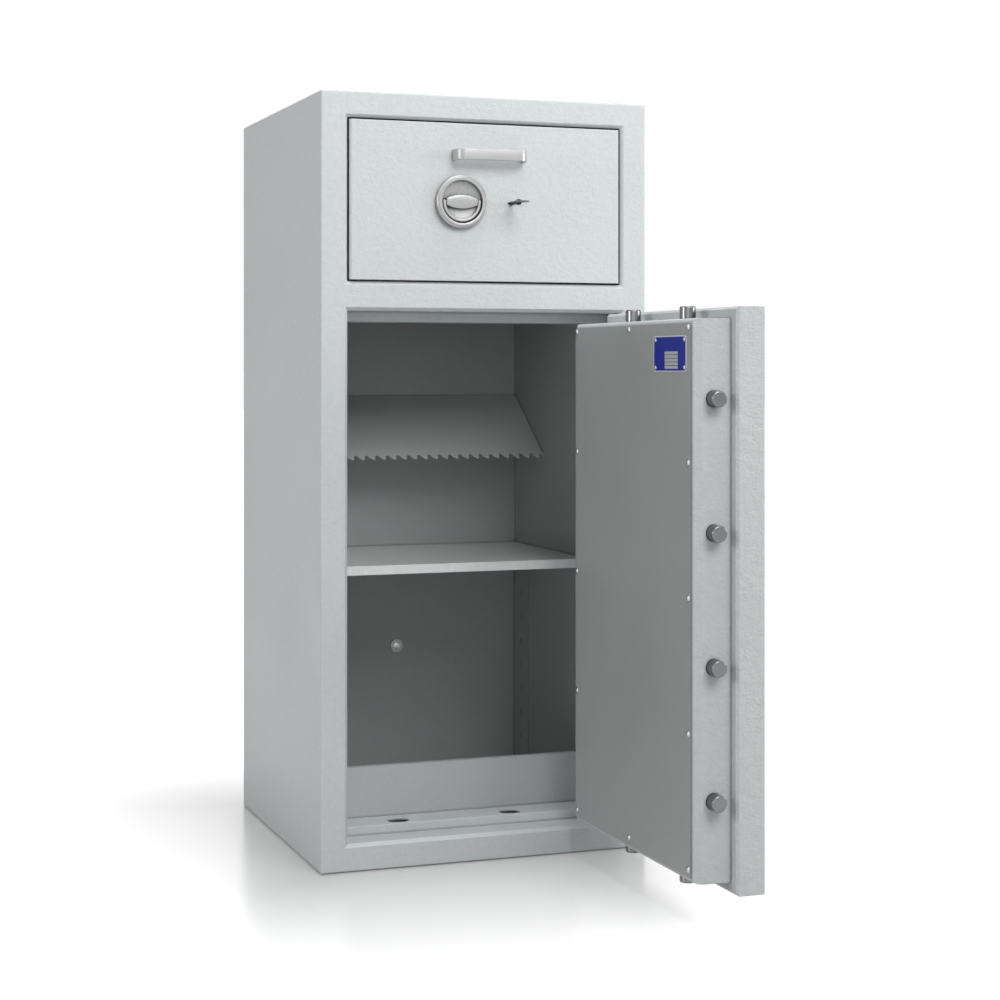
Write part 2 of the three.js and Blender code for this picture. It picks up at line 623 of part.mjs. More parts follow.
// Door: boltwork, shown thrown. Each bar carries a follower that runs in a spiral slot of the cam
const camY = [plateY[1] + seat + camOffset, plateY[1] + seat + camOffset + camThickness];
const barY = [camY[1] + 2, camY[1] + 2 + drawerBarSheet];
const doorCamOuter = doorCamInner + boltThrow;
const follower = (x, z, span) => rod('y', [x, z], followerRadius, span, 16);
const followerY = [camY[0] + sideGap, barY[0]];
const sideTip = boxAcross[0] - boltThrow;
const sideBolts = sideBoltHeights.map((z) => bolt('x', [boltY, z], boltRadius, sideTip, -1, boltLength));
sideBolts.forEach(({ solid }, i) => place(door, `side_bolt_${i + 1}`, solid, brightSteel));

const sideBarX = [sideBolts[0].far + seat, sideBolts[0].far + seat + barSheet];
const webY = [barY[0], boltY + boltRadius];
const sideBarSpan = grown([sideBoltHeights[0], sideBoltHeights[sideBoltCount - 1]], boltRadius + 8);
const sideFollowerX = handleX - doorCamOuter;
place(door, 'side_bolt_bar', join(
  block(sideBarX, webY, sideBarSpan),
  block([sideBarX[0], sideBarX[0] + barWidth], barY, sideBarSpan),
  block([sideBarX[0], sideFollowerX + barWidth / 2], barY, grown([doorHandleZ, doorHandleZ], barWidth / 2)),
  follower(sideFollowerX, doorHandleZ, followerY),
), platedSheet);

for (const [end, tipZ, towards] of [['top', doorTop - endBoltClear, 1], ['bottom', floorTop + endBoltClear, -1]]) {
  const pair = endBoltPlaces.map((x) => bolt('z', [x, boltY], boltRadius, tipZ, towards, boltLength));
  pair.forEach(({ solid }, i) => place(door, `${end}_bolt_${i + 1}`, solid, brightSteel));
  const near = pair[0].far - towards * seat;
  const sorted = (a, b) => [a, b].sort((p, q) => p - q);
  const followerZ = doorHandleZ + towards * doorCamOuter;
  place(door, `${end}_bolt_bar`, join(
    block(guideEnds, webY, sorted(near, near - towards * barSheet)),
    block(grown([handleX, handleX], barWidth / 2), barY, sorted(near, followerZ - towards * barWidth / 2)),
    follower(handleX, followerZ, followerY),
  ), platedSheet);
}

// Cam: round plate with a spiral slot for each follower, and a notch in its rim for the lock's bolt
const spiralSlot = (centre, y, startAngle, turn, fromRadius, toRadius) => {
  const half = followerRadius + slotPlay;
  const steps = 14;
  const growth = (toRadius - fromRadius) / THREE.MathUtils.degToRad(turn);
  const track = (side, share) => {
    const t = THREE.MathUtils.degToRad(startAngle + turn * share);
    const r = fromRadius + (toRadius - fromRadius) * share;
    const reach = (side * half) / Math.hypot(r, growth);
    const outward = r + reach * r;
    const sideways = -reach * growth;
    return [
      centre[0] + outward * Math.cos(t) - sideways * Math.sin(t),
      centre[1] + outward * Math.sin(t) + sideways * Math.cos(t),
    ];
  };
  const shares = Array.from({ length: steps + 1 }, (_, i) => i / steps);
  const edge = [...shares.map((s) => track(1, s)), ...shares.reverse().map((s) => track(-1, s))];
  const ends = [0, 1].map((share) => rod('y', track(0, share), half, y, 16));
  return join(prism(polygon(edge), 'y', y), ends);
};
const cam = (z, [y0, y1], inner, outer, startAngles, turn, notchAngles, fromOuter) => {
  const centre = spindleAt(z);
  const rim = outer + camRim;
  const through = [y0 - 1, y1 + 1];
  const slots = startAngles.map((angle) => (fromOuter
    ? spiralSlot(centre, through, angle, turn, outer, inner)
    : spiralSlot(centre, through, angle, turn, inner, outer)));
  const notches = notchAngles.map((deg) => {
    const half = lockBoltHeight / 2 + running;
    const notch = block([rim - lockThrow, rim + 2], through, [-half, half]);
    return notch.rotate([0, -deg, 0]).translate([centre[0], 0, centre[1]]);
  });
  return cut(rod('y', centre, rim, [y0, y1], 40), slots, notches, rod('y', centre, spindleRadius + 0.15, through));
};
place(door, 'door_cam', cam(doorHandleZ, camY, doorCamInner, doorCamOuter, [180, 90, 270], 90, [0], true), platedSheet);

// Turning handle: fixed ring with a dished floor, a lens-shaped hub on the spindle, and a folding bail
const handleParts = (z, spindleEnd) => {
  const profile = [
    [spindleRadius + running, -seat],
    [spindleRadius + running, -seat - roseFloor],
    [roseInner, -seat - roseFloor],
    [roseInner, -roseHeight + 1.2],
    [roseInner + 1.2, -roseHeight],
    [roseOuter - 3.5, -roseHeight],
    [roseOuter, -roseHeight + 3.5],
    [roseOuter, -seat],
    [spindleRadius + running, -seat],
  ];
  const ring = new THREE.LatheGeometry(profile.map(([r, y]) => new THREE.Vector2(r, y)), 36);
  const rose = asSolid(ring.translate(handleX, 0, z));
  const hubY = [-hubFace, -seat - roseFloor - seat];
  const pivotY = -(hubFace - hubY[1]) / 2 - 0.4;
  const pivot = [pivotY, z + bailPivotRise];
  const rise = (share) => hubEnd / 2 + ((hubHeight - hubEnd) / 2) * (1 - share * share);
  const shares = Array.from({ length: 11 }, (_, i) => i / 5 - 1);
  const upper = shares.map((s) => [handleX + (s * hubLength) / 2, z + rise(s)]);
  const lower = shares.reverse().map((s) => [handleX + (s * hubLength) / 2, z - rise(s)]);
  const pinDepth = 5;
  const pinSpans = [[-bailInner - 1, pinDepth - hubLength / 2], [hubLength / 2 - pinDepth, bailInner + 1]]
    .map((span) => span.map((x) => handleX + x));
  const pinBores = pinSpans.map((span) => rod('x', pivot, bailPinRadius + running, grown(span, running), 12));
  const hub = join(
    cut(prism(polygon([...upper, ...lower]), 'y', hubY), pinBores),
    rod('y', spindleAt(z), spindleRadius, [hubY[1] - 1, spindleEnd]),
  );
  const bailY = grown([pivotY, pivotY], bailThickness / 2);
  const earTop = z + bailPivotRise;
  const bend = (r, angles) => angles.map((deg) => {
    const t = THREE.MathUtils.degToRad(deg);
    return [handleX + r * Math.cos(t), z + r * Math.sin(t)];
  });
  const sweep = Array.from({ length: 17 }, (_, i) => 180 + (i * 180) / 16);
  const hoop = polygon([
    [handleX - bailInner, earTop],
    [handleX - bailOuter, earTop],
    ...bend(bailOuter, sweep),
    [handleX + bailOuter, earTop],
    [handleX + bailInner, earTop],
    ...bend(bailInner, sweep.reverse()),
  ]);
  const ears = [[-bailOuter, -bailInner], [bailInner, bailOuter]]
    .map((span) => rod('x', pivot, bailThickness / 2, span.map((x) => handleX + x), 16));
  const bail = join(
    prism(hoop, 'y', bailY),
    ears,
    pinSpans.map((span) => rod('x', pivot, bailPinRadius, span, 12)),
  );
  return { rose, hub, bail };
};
const doorHandle = handleParts(doorHandleZ, camY[1] + 0.5);
place(door, 'door_handle_rose', doorHandle.rose, satinMetal);
place(door, 'door_handle_hub', doorHandle.hub, satinMetal);
place(door, 'door_handle_bail', doorHandle.bail, satinMetal);

// Lock: case, turning drum with the key's slot, key, and a bolt that slides into the cam's notch
const lockParts = (z, caseFront, camSpan, camRimX) => {
  const caseY = [caseFront, caseFront + lockDepth];
  const backWall = 3;
  const boltZ = grown([z, z], lockBoltHeight / 2);
  const boltX = [camRimX + 1.5, keyX - drumRadius - running - sideGap];
  const lockCase = cut(
    block(grown([keyX, keyX], lockWidth / 2), caseY, grown([z, z], lockHeight / 2)),
    rod('y', [keyX, z], drumRadius + running, [caseY[0] - 1, caseY[1] - backWall], 32),
    block([keyX - lockWidth, keyX - drumRadius / 2], grown(camSpan, running), grown(boltZ, running)),
  );
  const drumY = [caseY[0] + sideGap, caseY[1] - backWall - sideGap];
  const halfBit = keyBit[0] / 2;
  const halfThick = keyBit[1] / 2;
  const keyway = join(
    block(grown([keyX, keyX], halfBit + running), grown(drumY, 1), grown([z, z], halfThick + running)),
    rod('y', [keyX, z], keyRadius + running, grown(drumY, 1), 16),
  );
  const drum = cut(rod('y', [keyX, z], drumRadius, drumY, 28), keyway);
  const bitY = [drumY[0] + 1, drumY[0] + 1 + keyBit[2]];
  const bowMiddle = [keyX, -keyBowOut];
  const oval = ([width, length]) => polygon(Array.from({ length: 20 }, (_, i) => {
    const t = (i * Math.PI) / 10;
    return [bowMiddle[0] + (width / 2) * Math.cos(t), bowMiddle[1] + (length / 2) * Math.sin(t)];
  }));
  const bowZ = grown([z, z], keyBow[2] / 2);
  const bow = cut(prism(oval(keyBow), 'z', bowZ), prism(oval(keyBowHole), 'z', grown(bowZ, 1)));
  const neck = -keyBowOut + keyBow[1] / 2;
  const key = join(
    bow,
    rod('y', [keyX, z], keyRadius, [neck - 3, bitY[1]], 16),
    rod('y', [keyX, z], keyCollar[0], [neck + 4, neck + 4 + keyCollar[1]], 16),
    block(grown([keyX, keyX], halfBit), bitY, grown([z, z], halfThick)),
  );
  return { lockCase, drum, key, lockBolt: block(boltX, camSpan, boltZ) };
};
const doorLock = lockParts(doorHandleZ, plateY[1] + seat, camY, handleX + doorCamOuter + camRim);
place(door, 'door_lock_case', doorLock.lockCase, platedSheet);
place(door, 'door_lock_drum', doorLock.drum, brightSteel);
place(door, 'door_lock_bolt', doorLock.lockBolt, brightSteel);
place(door, 'door_key', doorLock.key, darkSteel);

// Drawer: pan-shaped front, with the tray's front wall closing its back
const drawerAcross = grown(clearAcross, -drawerGap);
const drawerHeights = grown([drawerBottom, drawerTop], -drawerGap);
const frontY = [0, drawerFrontDepth];
const slight = { radius: drawerFrontRadius };
const sideCut = { chamfer: [drawerSideChamfer, drawerSideChamfer] };
const panPlan = cornered(drawerAcross, frontY, [sideCut, sideCut, {}, {}]);
const panSide = cornered(frontY, drawerHeights, [slight, {}, {}, slight]);
const pan = prism(panPlan, 'z', drawerHeights).intersect(prism(panSide, 'x', drawerAcross));
const panHollow = block(grown(drawerAcross, -drawerSheet), [drawerSheet, drawerFrontDepth + 1], grown(drawerHeights, -drawerSheet));
place(body, 'drawer_front', cut(
  pan,
  panHollow,
  spindleBore(drawerHandleZ, [-1, drawerSheet + 1]),
  keyhole(drawerHandleZ, [-1, drawerSheet + 1]),
  rod('x', [drawerBoltY, drawerHandleZ], drawerBoltRadius + running, grown(drawerAcross, 1)),
), greyPaint);

// Drawer: tray with side rails that run in the channels, open below for the drop flap
const trayAcross = grown(drawerAcross, -traySideGap);
const trayBack = rebateDepth + trayKeep + drawerTravel;
const trayFloorLine = drawerBottom + trayFloorRise;
const trayTop = drawerHeights[1] - trayRimDrop;
const trayZ = [trayFloorLine, trayTop];
const flapPivotZ = trayFloorLine - flapPivotDrop;
const flapPivot = [flapPivotBack, flapPivotZ];
const lugHalf = 10;
const trayFrontWall = block(drawerAcross, [drawerFrontDepth, drawerFrontDepth + traySheet], drawerHeights);
const trayY = [drawerFrontDepth, trayBack];
const trayWalls = cut(
  block(trayAcross, trayY, trayZ),
  block(grown(trayAcross, -traySheet), grown(trayY, -traySheet), grown(trayZ, 1)),
);
const railY = [drawerFrontDepth + traySheet / 2, runnerY[1] - railShort];
const railZ = grown([runnerHeight, runnerHeight], runnerOpening / 2 - running);
const trayFittings = [[trayAcross[0], 1, clearLeft], [trayAcross[1], -1, clearRight]].flatMap(([x, inward, wallX]) => {
  const sorted = (a, b) => [a, b].sort((p, q) => p - q);
  const lug = block(
    sorted(x, x + inward * traySheet),
    grown([flapPivotBack, flapPivotBack], lugHalf),
    [flapPivotZ - lugHalf, trayFloorLine + lugHalf],
  );
  return [lug, block(sorted(wallX + inward * (runnerSheet + running), x + (inward * traySheet) / 2), railY, railZ)];
});
place(body, 'deposit_tray', cut(
  join(trayFrontWall, trayWalls, trayFittings),
  rod('x', flapPivot, flapRodRadius + running, grown(drawerAcross, 1), 16),
), platedSheet);

// Drawer: floor flap, tipped down behind when the drawer is shut, level when it is out
const flapSheet = 2;
const flapLength = trayBack - flapPivotBack - flapEndGap;
const flapAcross = grown(trayAcross, -traySheet - flapSideGap);
const tip = THREE.MathUtils.degToRad(flapTip);
const along = (distance, lift) => [
  flapPivotBack + distance * Math.cos(tip) + lift * Math.sin(tip),
  flapPivotZ - distance * Math.sin(tip) + lift * Math.cos(tip),
];
const flapOutline = polygon([along(0, 0), along(flapLength, 0), along(flapLength, flapSheet), along(0, flapSheet)]);
place(body, 'drop_flap', join(
  prism(flapOutline, 'x', flapAcross),
  rod('x', flapPivot, flapRodRadius, grown(trayAcross, 0), 16),
), platedSheet);

// Drawer: bent strip pull
const pullAcross = grown([centreX, centreX], pullLength / 2);
const pullZ = grown([drawerTop - pullDrop, drawerTop - pullDrop], pullHeight / 2);
const curl = { radius: pullBend };
const innerCurl = { radius: pullBend - pullSheet };
const pullBody = prism(cornered(pullAcross, [-pullStandOff, 0], [curl, curl, {}, {}]), 'z', pullZ);
const pullInside = prism(cornered(grown(pullAcross, -pullSheet), [-pullStandOff + pullSheet, 1], [innerCurl, innerCurl, {}, {}]), 'z', grown(pullZ, 1));
place(body, 'drawer_pull', cut(pullBody, pullInside), satinMetal);

// Drawer: boltwork, shown withdrawn, with a bolt to each side
const drawerCamOuter = drawerCamInner + drawerBoltThrow;
const drawerLockY = drawerSheet + seat;
const drawerCamY = [drawerLockY + camOffset, drawerLockY + camOffset + camThickness];
const drawerBarY = [drawerBarDepth, drawerBarDepth + drawerBarSheet];
const drawerFollowerY = [drawerCamY[0] + sideGap, drawerBarY[0]];
for (const [side, tipX, towards] of [['left', drawerAcross[0] + 1, -1], ['right', drawerAcross[1] - 1, 1]]) {
  const { solid, far } = bolt('x', [drawerBoltY, drawerHandleZ], drawerBoltRadius, tipX, towards, drawerBoltLength);
  const followerX = handleX + towards * drawerCamInner;
  const sorted = (a, b) => [a, b].sort((p, q) => p - q);
  place(body, `drawer_bolt_${side}`, join(
    solid,
    block(sorted(far + towards * 5, followerX - towards * (followerRadius + 1)), drawerBarY, grown([drawerHandleZ, drawerHandleZ], 7)),
    follower(followerX, drawerHandleZ, drawerFollowerY),
  ), brightSteel);
}
const drawerCam = cam(drawerHandleZ, drawerCamY, drawerCamInner, drawerCamOuter, [180, 0], -90, [0, -90], false);
place(body, 'drawer_cam', drawerCam, platedSheet);

const drawerHandle = handleParts(drawerHandleZ, drawerCamY[1] + 0.5);
place(body, 'drawer_handle_rose', drawerHandle.rose, satinMetal);
place(body, 'drawer_handle_hub', drawerHandle.hub, satinMetal);
place(body, 'drawer_handle_bail', drawerHandle.bail, satinMetal);

const drawerLock = lockParts(drawerHandleZ, drawerLockY, drawerCamY, handleX + drawerCamOuter + camRim);
place(body, 'drawer_lock_case', drawerLock.lockCase, platedSheet);
place(body, 'drawer_lock_drum', drawerLock.drum, brightSteel);
place(body, 'drawer_lock_bolt', drawerLock.lockBolt, brightSteel);
place(body, 'drawer_key', drawerLock.key, darkSteel);

export default safe;
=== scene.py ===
"""Drop safe with a deposit drawer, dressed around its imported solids.

Metres, +Z up, front towards -Y. The door stands open at a right angle, so its outside faces +X.
"""
import math

import bpy
import numpy as np
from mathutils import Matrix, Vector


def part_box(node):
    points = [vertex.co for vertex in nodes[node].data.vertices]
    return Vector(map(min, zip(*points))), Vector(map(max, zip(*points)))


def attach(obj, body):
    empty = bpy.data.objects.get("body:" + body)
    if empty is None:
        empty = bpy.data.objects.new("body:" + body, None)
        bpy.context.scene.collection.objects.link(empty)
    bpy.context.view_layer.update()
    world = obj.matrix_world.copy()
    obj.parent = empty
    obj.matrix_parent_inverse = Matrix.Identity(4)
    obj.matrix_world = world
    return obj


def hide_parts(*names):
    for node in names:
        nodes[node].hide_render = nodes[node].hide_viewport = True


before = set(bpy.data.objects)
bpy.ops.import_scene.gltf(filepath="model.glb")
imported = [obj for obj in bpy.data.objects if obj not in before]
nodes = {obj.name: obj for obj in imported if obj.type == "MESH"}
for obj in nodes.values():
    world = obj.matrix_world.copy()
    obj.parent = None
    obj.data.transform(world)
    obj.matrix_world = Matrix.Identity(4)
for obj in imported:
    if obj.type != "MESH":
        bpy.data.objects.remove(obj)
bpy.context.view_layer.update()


# Camera
# The photograph was taken from the left of the safe at two thirds of its height, with the back
# of the camera upright: verticals stay parallel, and the frame is shifted down and to the right.
camera_place = (-1.2593, -3.7593, 0.9003)
camera_turn = math.atan2(0.3355, 0.9420)
camera_data = bpy.data.cameras.new("photo_camera")
camera_data.sensor_width = 36.0
camera_data.lens = 72.16
camera_data.shift_x = 0.0270
camera_data.shift_y = -0.1304
camera_data.clip_end = 200.0
camera = bpy.data.objects.new("photo_camera", camera_data)
camera.location = camera_place
camera.rotation_euler = (math.pi / 2, 0.0, -camera_turn)
bpy.context.scene.collection.objects.link(camera)
bpy.context.scene.camera = camera
bpy.context.scene.view_settings.view_transform = "Standard"


# Studio: pale floor, white surroundings and seven soft lamps
# The floor is pale paper with a slight gloss. It keeps the safe's mirror image and shadow near the
# footprint. To direct view it glows more the farther it lies from the safe, so it ends in white.
def add(tree, kind, values=None, **settings):
    """A new shader node. values go to its input sockets by name or number, settings to the node."""
    node = tree.nodes.new(kind)
    for name, value in settings.items():
        setattr(node, name, value)
    for socket, value in (values or {}).items():
        node.inputs[socket].default_value = value
    return node


def seen_directly(tree):
    """1 for camera, glossy and transmission rays, and 0 for the rays that light a matt surface."""
    path = add(tree, "ShaderNodeLightPath")
    either = add(tree, "ShaderNodeMath", operation="MAXIMUM")
    tree.links.new(path.outputs["Is Camera Ray"], either.inputs[0])
    tree.links.new(path.outputs["Is Glossy Ray"], either.inputs[1])
    any_of = add(tree, "ShaderNodeMath", operation="MAXIMUM")
    tree.links.new(either.outputs[0], any_of.inputs[0])
    tree.links.new(path.outputs["Is Transmission Ray"], any_of.inputs[1])
    return any_of.outputs[0]


ambient_level = 0.14
seen_level = 1.0
floor_seen, floor_bounce = 0.42, 0.34
floor_gloss, floor_ior = 0.20, 2.2
near_lift, far_lift = 0.16, 0.67
lift_distance = 0.5
footprint = (0.316, 0.304, 0.0)
floor_half = 40.0
floor_drop = 0.0006
floor_corners = np.array([[-1, -1, 0], [1, -1, 0], [1, 1, 0], [-1, 1, 0]]) * floor_half
floor_mesh = bpy.data.meshes.new("studio_floor")
floor_mesh.from_pydata((floor_corners - [0, 0, floor_drop]).tolist(), [], [(0, 1, 2, 3)])
floor = bpy.data.objects.new("studio_floor", floor_mesh)
bpy.context.scene.collection.objects.link(floor)

floor_paint = bpy.data.materials.new("white_sheeting")
floor_paint.use_nodes = True
tree = floor_paint.node_tree
tree.nodes.clear()
# Distance from the footprint: the length of max(|place| - footprint, 0)
direct = seen_directly(tree)
sheeting = add(tree, "ShaderNodeBsdfPrincipled", {"Roughness": floor_gloss, "IOR": floor_ior})
paper = add(tree, "ShaderNodeMapRange", {"To Min": floor_bounce, "To Max": floor_seen})
place = add(tree, "ShaderNodeTexCoord")
one_corner = add(tree, "ShaderNodeVectorMath", operation="ABSOLUTE")
past = add(tree, "ShaderNodeVectorMath", {1: footprint}, operation="SUBTRACT")
outside = add(tree, "ShaderNodeVectorMath", {1: (0.0, 0.0, 0.0)}, operation="MAXIMUM")
away = add(tree, "ShaderNodeVectorMath", operation="LENGTH")
rise_ends = {"From Max": lift_distance, "To Min": near_lift, "To Max": far_lift}
rise = add(tree, "ShaderNodeMapRange", rise_ends)
lift = add(tree, "ShaderNodeEmission")
lift_strength = add(tree, "ShaderNodeMath", operation="MULTIPLY")
both = add(tree, "ShaderNodeAddShader")
out = add(tree, "ShaderNodeOutputMaterial")
tree.links.new(direct, paper.inputs["Value"])
tree.links.new(paper.outputs["Result"], sheeting.inputs["Base Color"])
tree.links.new(place.outputs["Object"], one_corner.inputs[0])
tree.links.new(one_corner.outputs[0], past.inputs[0])
tree.links.new(past.outputs[0], outside.inputs[0])
tree.links.new(outside.outputs[0], away.inputs[0])
tree.links.new(away.outputs["Value"], rise.inputs["Value"])
tree.links.new(rise.outputs["Result"], lift_strength.inputs[1])
tree.links.new(direct, lift_strength.inputs[0])
tree.links.new(lift_strength.outputs[0], lift.inputs["Strength"])
tree.links.new(sheeting.outputs[0], both.inputs[0])
tree.links.new(lift.outputs[0], both.inputs[1])
tree.links.new(both.outputs[0], out.inputs["Surface"])
floor_mesh.materials.append(floor_paint)

world = bpy.data.worlds.new("white_studio")
world.use_nodes = True
bpy.context.scene.world = world
tree = world.node_tree
tree.nodes.clear()
level = add(tree, "ShaderNodeMapRange", {"To Min": ambient_level, "To Max": seen_level})
background = add(tree, "ShaderNodeBackground", {"Color": (1, 1, 1, 1)})
out = add(tree, "ShaderNodeOutputWorld")
tree.links.new(seen_directly(tree), level.inputs["Value"])
tree.links.new(level.outputs["Result"], background.inputs["Strength"])
tree.links.new(background.outputs[0], out.inputs["Surface"])

for lamp_name, place, target, size, power in [
    ("key_softbox", (0.35, -3.30, 3.00), (0.0, -0.30, 0.85), 1.8, 62.0),
    ("side_softbox", (1.75, -2.60, 2.75), (0.05, -0.30, 0.75), 1.6, 14.0),
    ("front_fill", (-1.3, -4.6, 1.5), (0.0, 0.0, 0.7), 2.2, 15.0),
    ("left_softbox", (-3.6, -0.9, 1.7), (-0.3, 0.0, 0.8), 1.2, 37.0),
    ("right_softbox", (3.4, -1.7, 1.5), (0.2, -0.5, 0.6), 1.2, 40.0),
    ("top_softbox", (0.1, -0.7, 3.9), (0.1, -0.4, 0.5), 1.2, 38.0),
    ("back_softbox", (1.2, 3.6, 2.6), (0.0, 0.0, 0.7), 2.0, 60.0),
]:
    lamp_data = bpy.data.lights.new(lamp_name, "AREA")
    lamp_data.shape = "SQUARE"
    lamp_data.size = size
    lamp_data.energy = power
    lamp = bpy.data.objects.new(lamp_name, lamp_data)
    aim = np.array(target) - np.array(place)
    lamp.location = place
    lamp.rotation_euler = (
        math.atan2(math.hypot(aim[0], aim[1]), -aim[2]),
        0.0,
        math.atan2(aim[1], aim[0]) - math.pi / 2,
    )
    bpy.context.scene.collection.objects.link(lamp)


# Body outside: front frame, casing, and the rebate profiles behind the door opening
# Bent steel plate with a light grey textured powder coat, which flows together into fine pimples
# and is thinner on every edge; there it is paler, as a painted highlight.
def new_group(name, inputs, outputs):
    """An empty shader node group with those sockets, each given as a name, a kind and a default."""
    group = bpy.data.node_groups.new(name, "ShaderNodeTree")
    for label, kind, default in inputs:
        socket = group.interface.new_socket(name=label, in_out="INPUT", socket_type=kind)
        socket.default_value = default
    for label, kind in outputs:
        group.interface.new_socket(name=label, in_out="OUTPUT", socket_type=kind)
    return group, group.nodes.new("NodeGroupInput"), group.nodes.new("NodeGroupOutput")


def spread(tree, given, wanted):
    """A node that maps the given range of a value to the wanted one, and clamps it there."""
    ends = {"From Min": given[0], "From Max": given[1], "To Min": wanted[0], "To Max": wanted[1]}
    return add(tree, "ShaderNodeMapRange", ends)


def edge_group():
    """Soft edges: the normal bends over each sharp edge, and where it bends most the mask is 1."""
    group, given, result = new_group(
        "soft_edges",
        [("Radius", "NodeSocketFloat", 0.001)],
        [("Normal", "NodeSocketVector"), ("Edge", "NodeSocketFloat")],
    )
    rounded = add(group, "ShaderNodeBevel", samples=4)
    flat = add(group, "ShaderNodeNewGeometry")
    agree = add(group, "ShaderNodeVectorMath", operation="DOT_PRODUCT")
    mask = spread(group, (0.995, 0.80), (0.0, 1.0))
    group.links.new(given.outputs["Radius"], rounded.inputs["Radius"])
    group.links.new(rounded.outputs["Normal"], agree.inputs[0])
    group.links.new(flat.outputs["True Normal"], agree.inputs[1])
    group.links.new(agree.outputs["Value"], mask.inputs["Value"])
    group.links.new(rounded.outputs["Normal"], result.inputs["Normal"])
    group.links.new(mask.outputs["Result"], result.inputs["Edge"])
    return group


def painted_crevice_shade_group():
    """Painted shade in crevices: a colour is darkened where other faces stand closer than Reach, so
    that a narrow gap or an inner corner comes out darker than the open sheet."""
    group, given, result = new_group(
        "painted_crevice_shade",
        [("Color", "NodeSocketColor", (0.5, 0.5, 0.5, 1)), ("Reach", "NodeSocketFloat", 0.008)],
        [("Color", "NodeSocketColor")],
    )
    open_sky = add(group, "ShaderNodeAmbientOcclusion", samples=6)
    kept = spread(group, (0.15, 0.75), (0.02, 1.0))
    darkened = add(group, "ShaderNodeVectorMath", operation="SCALE")
    group.links.new(given.outputs["Reach"], open_sky.inputs["Distance"])
    group.links.new(open_sky.outputs["AO"], kept.inputs["Value"])
    group.links.new(given.outputs["Color"], darkened.inputs[0])
    group.links.new(kept.outputs["Result"], darkened.inputs["Scale"])
    group.links.new(darkened.outputs[0], result.inputs["Color"])
    return group


finish_outputs = [
    ("Color", "NodeSocketColor"),
    ("Roughness", "NodeSocketFloat"),
    ("Normal", "NodeSocketVector"),
]


def peel_group():
    """Powder coat: fine pimples and broader waves, both a little wider than tall, as bumps, and a
    slow drift in tone and in roughness. On edges it is paler: the coat is thinner there, and the
    paleness paints in a highlight."""
    group, given, result = new_group(
        "powder_peel",
        [
            ("Tint", "NodeSocketColor", (0.6, 0.6, 0.6, 1)),
            ("Pimples", "NodeSocketFloat", 300.0),
            ("Depth", "NodeSocketFloat", 0.0003),
            ("Shine", "NodeSocketFloat", 0.5),
            ("Edge", "NodeSocketFloat", 0.0),
            ("Normal", "NodeSocketVector", (0.0, 0.0, 0.0)),
        ],
        finish_outputs,
    )
    flatten = (1.0, 1.0, 1.25)
    wave_share = 0.38
    place = add(group, "ShaderNodeTexCoord")
    level = add(group, "ShaderNodeVectorMath", {1: flatten}, operation="MULTIPLY")
    pimples = add(group, "ShaderNodeTexNoise", {"Detail": 2.0, "Roughness": 0.6})
    coarser = add(group, "ShaderNodeMath", {1: wave_share}, operation="MULTIPLY")
    waves = add(group, "ShaderNodeTexNoise", {"Detail": 2.0, "Roughness": 0.5})
    drift = add(group, "ShaderNodeTexNoise", {"Scale": 3.1, "Detail": 3.0, "Roughness": 0.55})
    group.links.new(given.outputs["Pimples"], pimples.inputs["Scale"])
    group.links.new(given.outputs["Pimples"], coarser.inputs[0])
    group.links.new(coarser.outputs[0], waves.inputs["Scale"])
    group.links.new(place.outputs["Object"], level.inputs[0])
    for noise in (pimples, waves):
        group.links.new(level.outputs[0], noise.inputs["Vector"])
    group.links.new(place.outputs["Object"], drift.inputs["Vector"])
    relief = add(group, "ShaderNodeMath", operation="ADD")
    group.links.new(pimples.outputs["Fac"], relief.inputs[0])
    group.links.new(waves.outputs["Fac"], relief.inputs[1])
    bump = add(group, "ShaderNodeBump", {"Strength": 1.0})
    group.links.new(relief.outputs[0], bump.inputs["Height"])
    group.links.new(given.outputs["Depth"], bump.inputs["Distance"])
    group.links.new(given.outputs["Normal"], bump.inputs["Normal"])
    group.links.new(bump.outputs["Normal"], result.inputs["Normal"])

    speckle = spread(group, (0.30, 0.70), (0.97, 1.02))
    slow = spread(group, (0.35, 0.65), (0.975, 1.02))
    # Painted highlight: edges are made up to a third paler.
    rim = spread(group, (0.0, 1.0), (1.0, 1.34))
    tone = add(group, "ShaderNodeMath", operation="MULTIPLY")
    tone_with_edge_highlight = add(group, "ShaderNodeMath", operation="MULTIPLY")
    tinted = add(group, "ShaderNodeVectorMath", operation="SCALE")
    group.links.new(waves.outputs["Fac"], speckle.inputs["Value"])
    group.links.new(drift.outputs["Fac"], slow.inputs["Value"])
    group.links.new(given.outputs["Edge"], rim.inputs["Value"])
    group.links.new(speckle.outputs["Result"], tone.inputs[0])
    group.links.new(slow.outputs["Result"], tone.inputs[1])
    group.links.new(tone.outputs[0], tone_with_edge_highlight.inputs[0])
    group.links.new(rim.outputs["Result"], tone_with_edge_highlight.inputs[1])
    group.links.new(given.outputs["Tint"], tinted.inputs[0])
    group.links.new(tone_with_edge_highlight.outputs[0], tinted.inputs["Scale"])
    group.links.new(tinted.outputs[0], result.inputs["Color"])

    unrest = spread(group, (0.3, 0.7), (-0.06, 0.06))
    shine = add(group, "ShaderNodeMath", operation="ADD")
    group.links.new(drift.outputs["Fac"], unrest.inputs["Value"])
    group.links.new(given.outputs["Shine"], shine.inputs[0])
    group.links.new(unrest.outputs["Result"], shine.inputs[1])
    group.links.new(shine.outputs[0], result.inputs["Roughness"])
    return group


soft_edges = edge_group()
painted_crevice_shade = painted_crevice_shade_group()
powder_peel = peel_group()


def set_inputs(node, tint, **values):
    """Constant inputs of a shader group: its tint, and other sockets by their names."""
    node.inputs["Tint"].default_value = (*tint, 1)
    for label, value in values.items():
        node.inputs[label].default_value = value


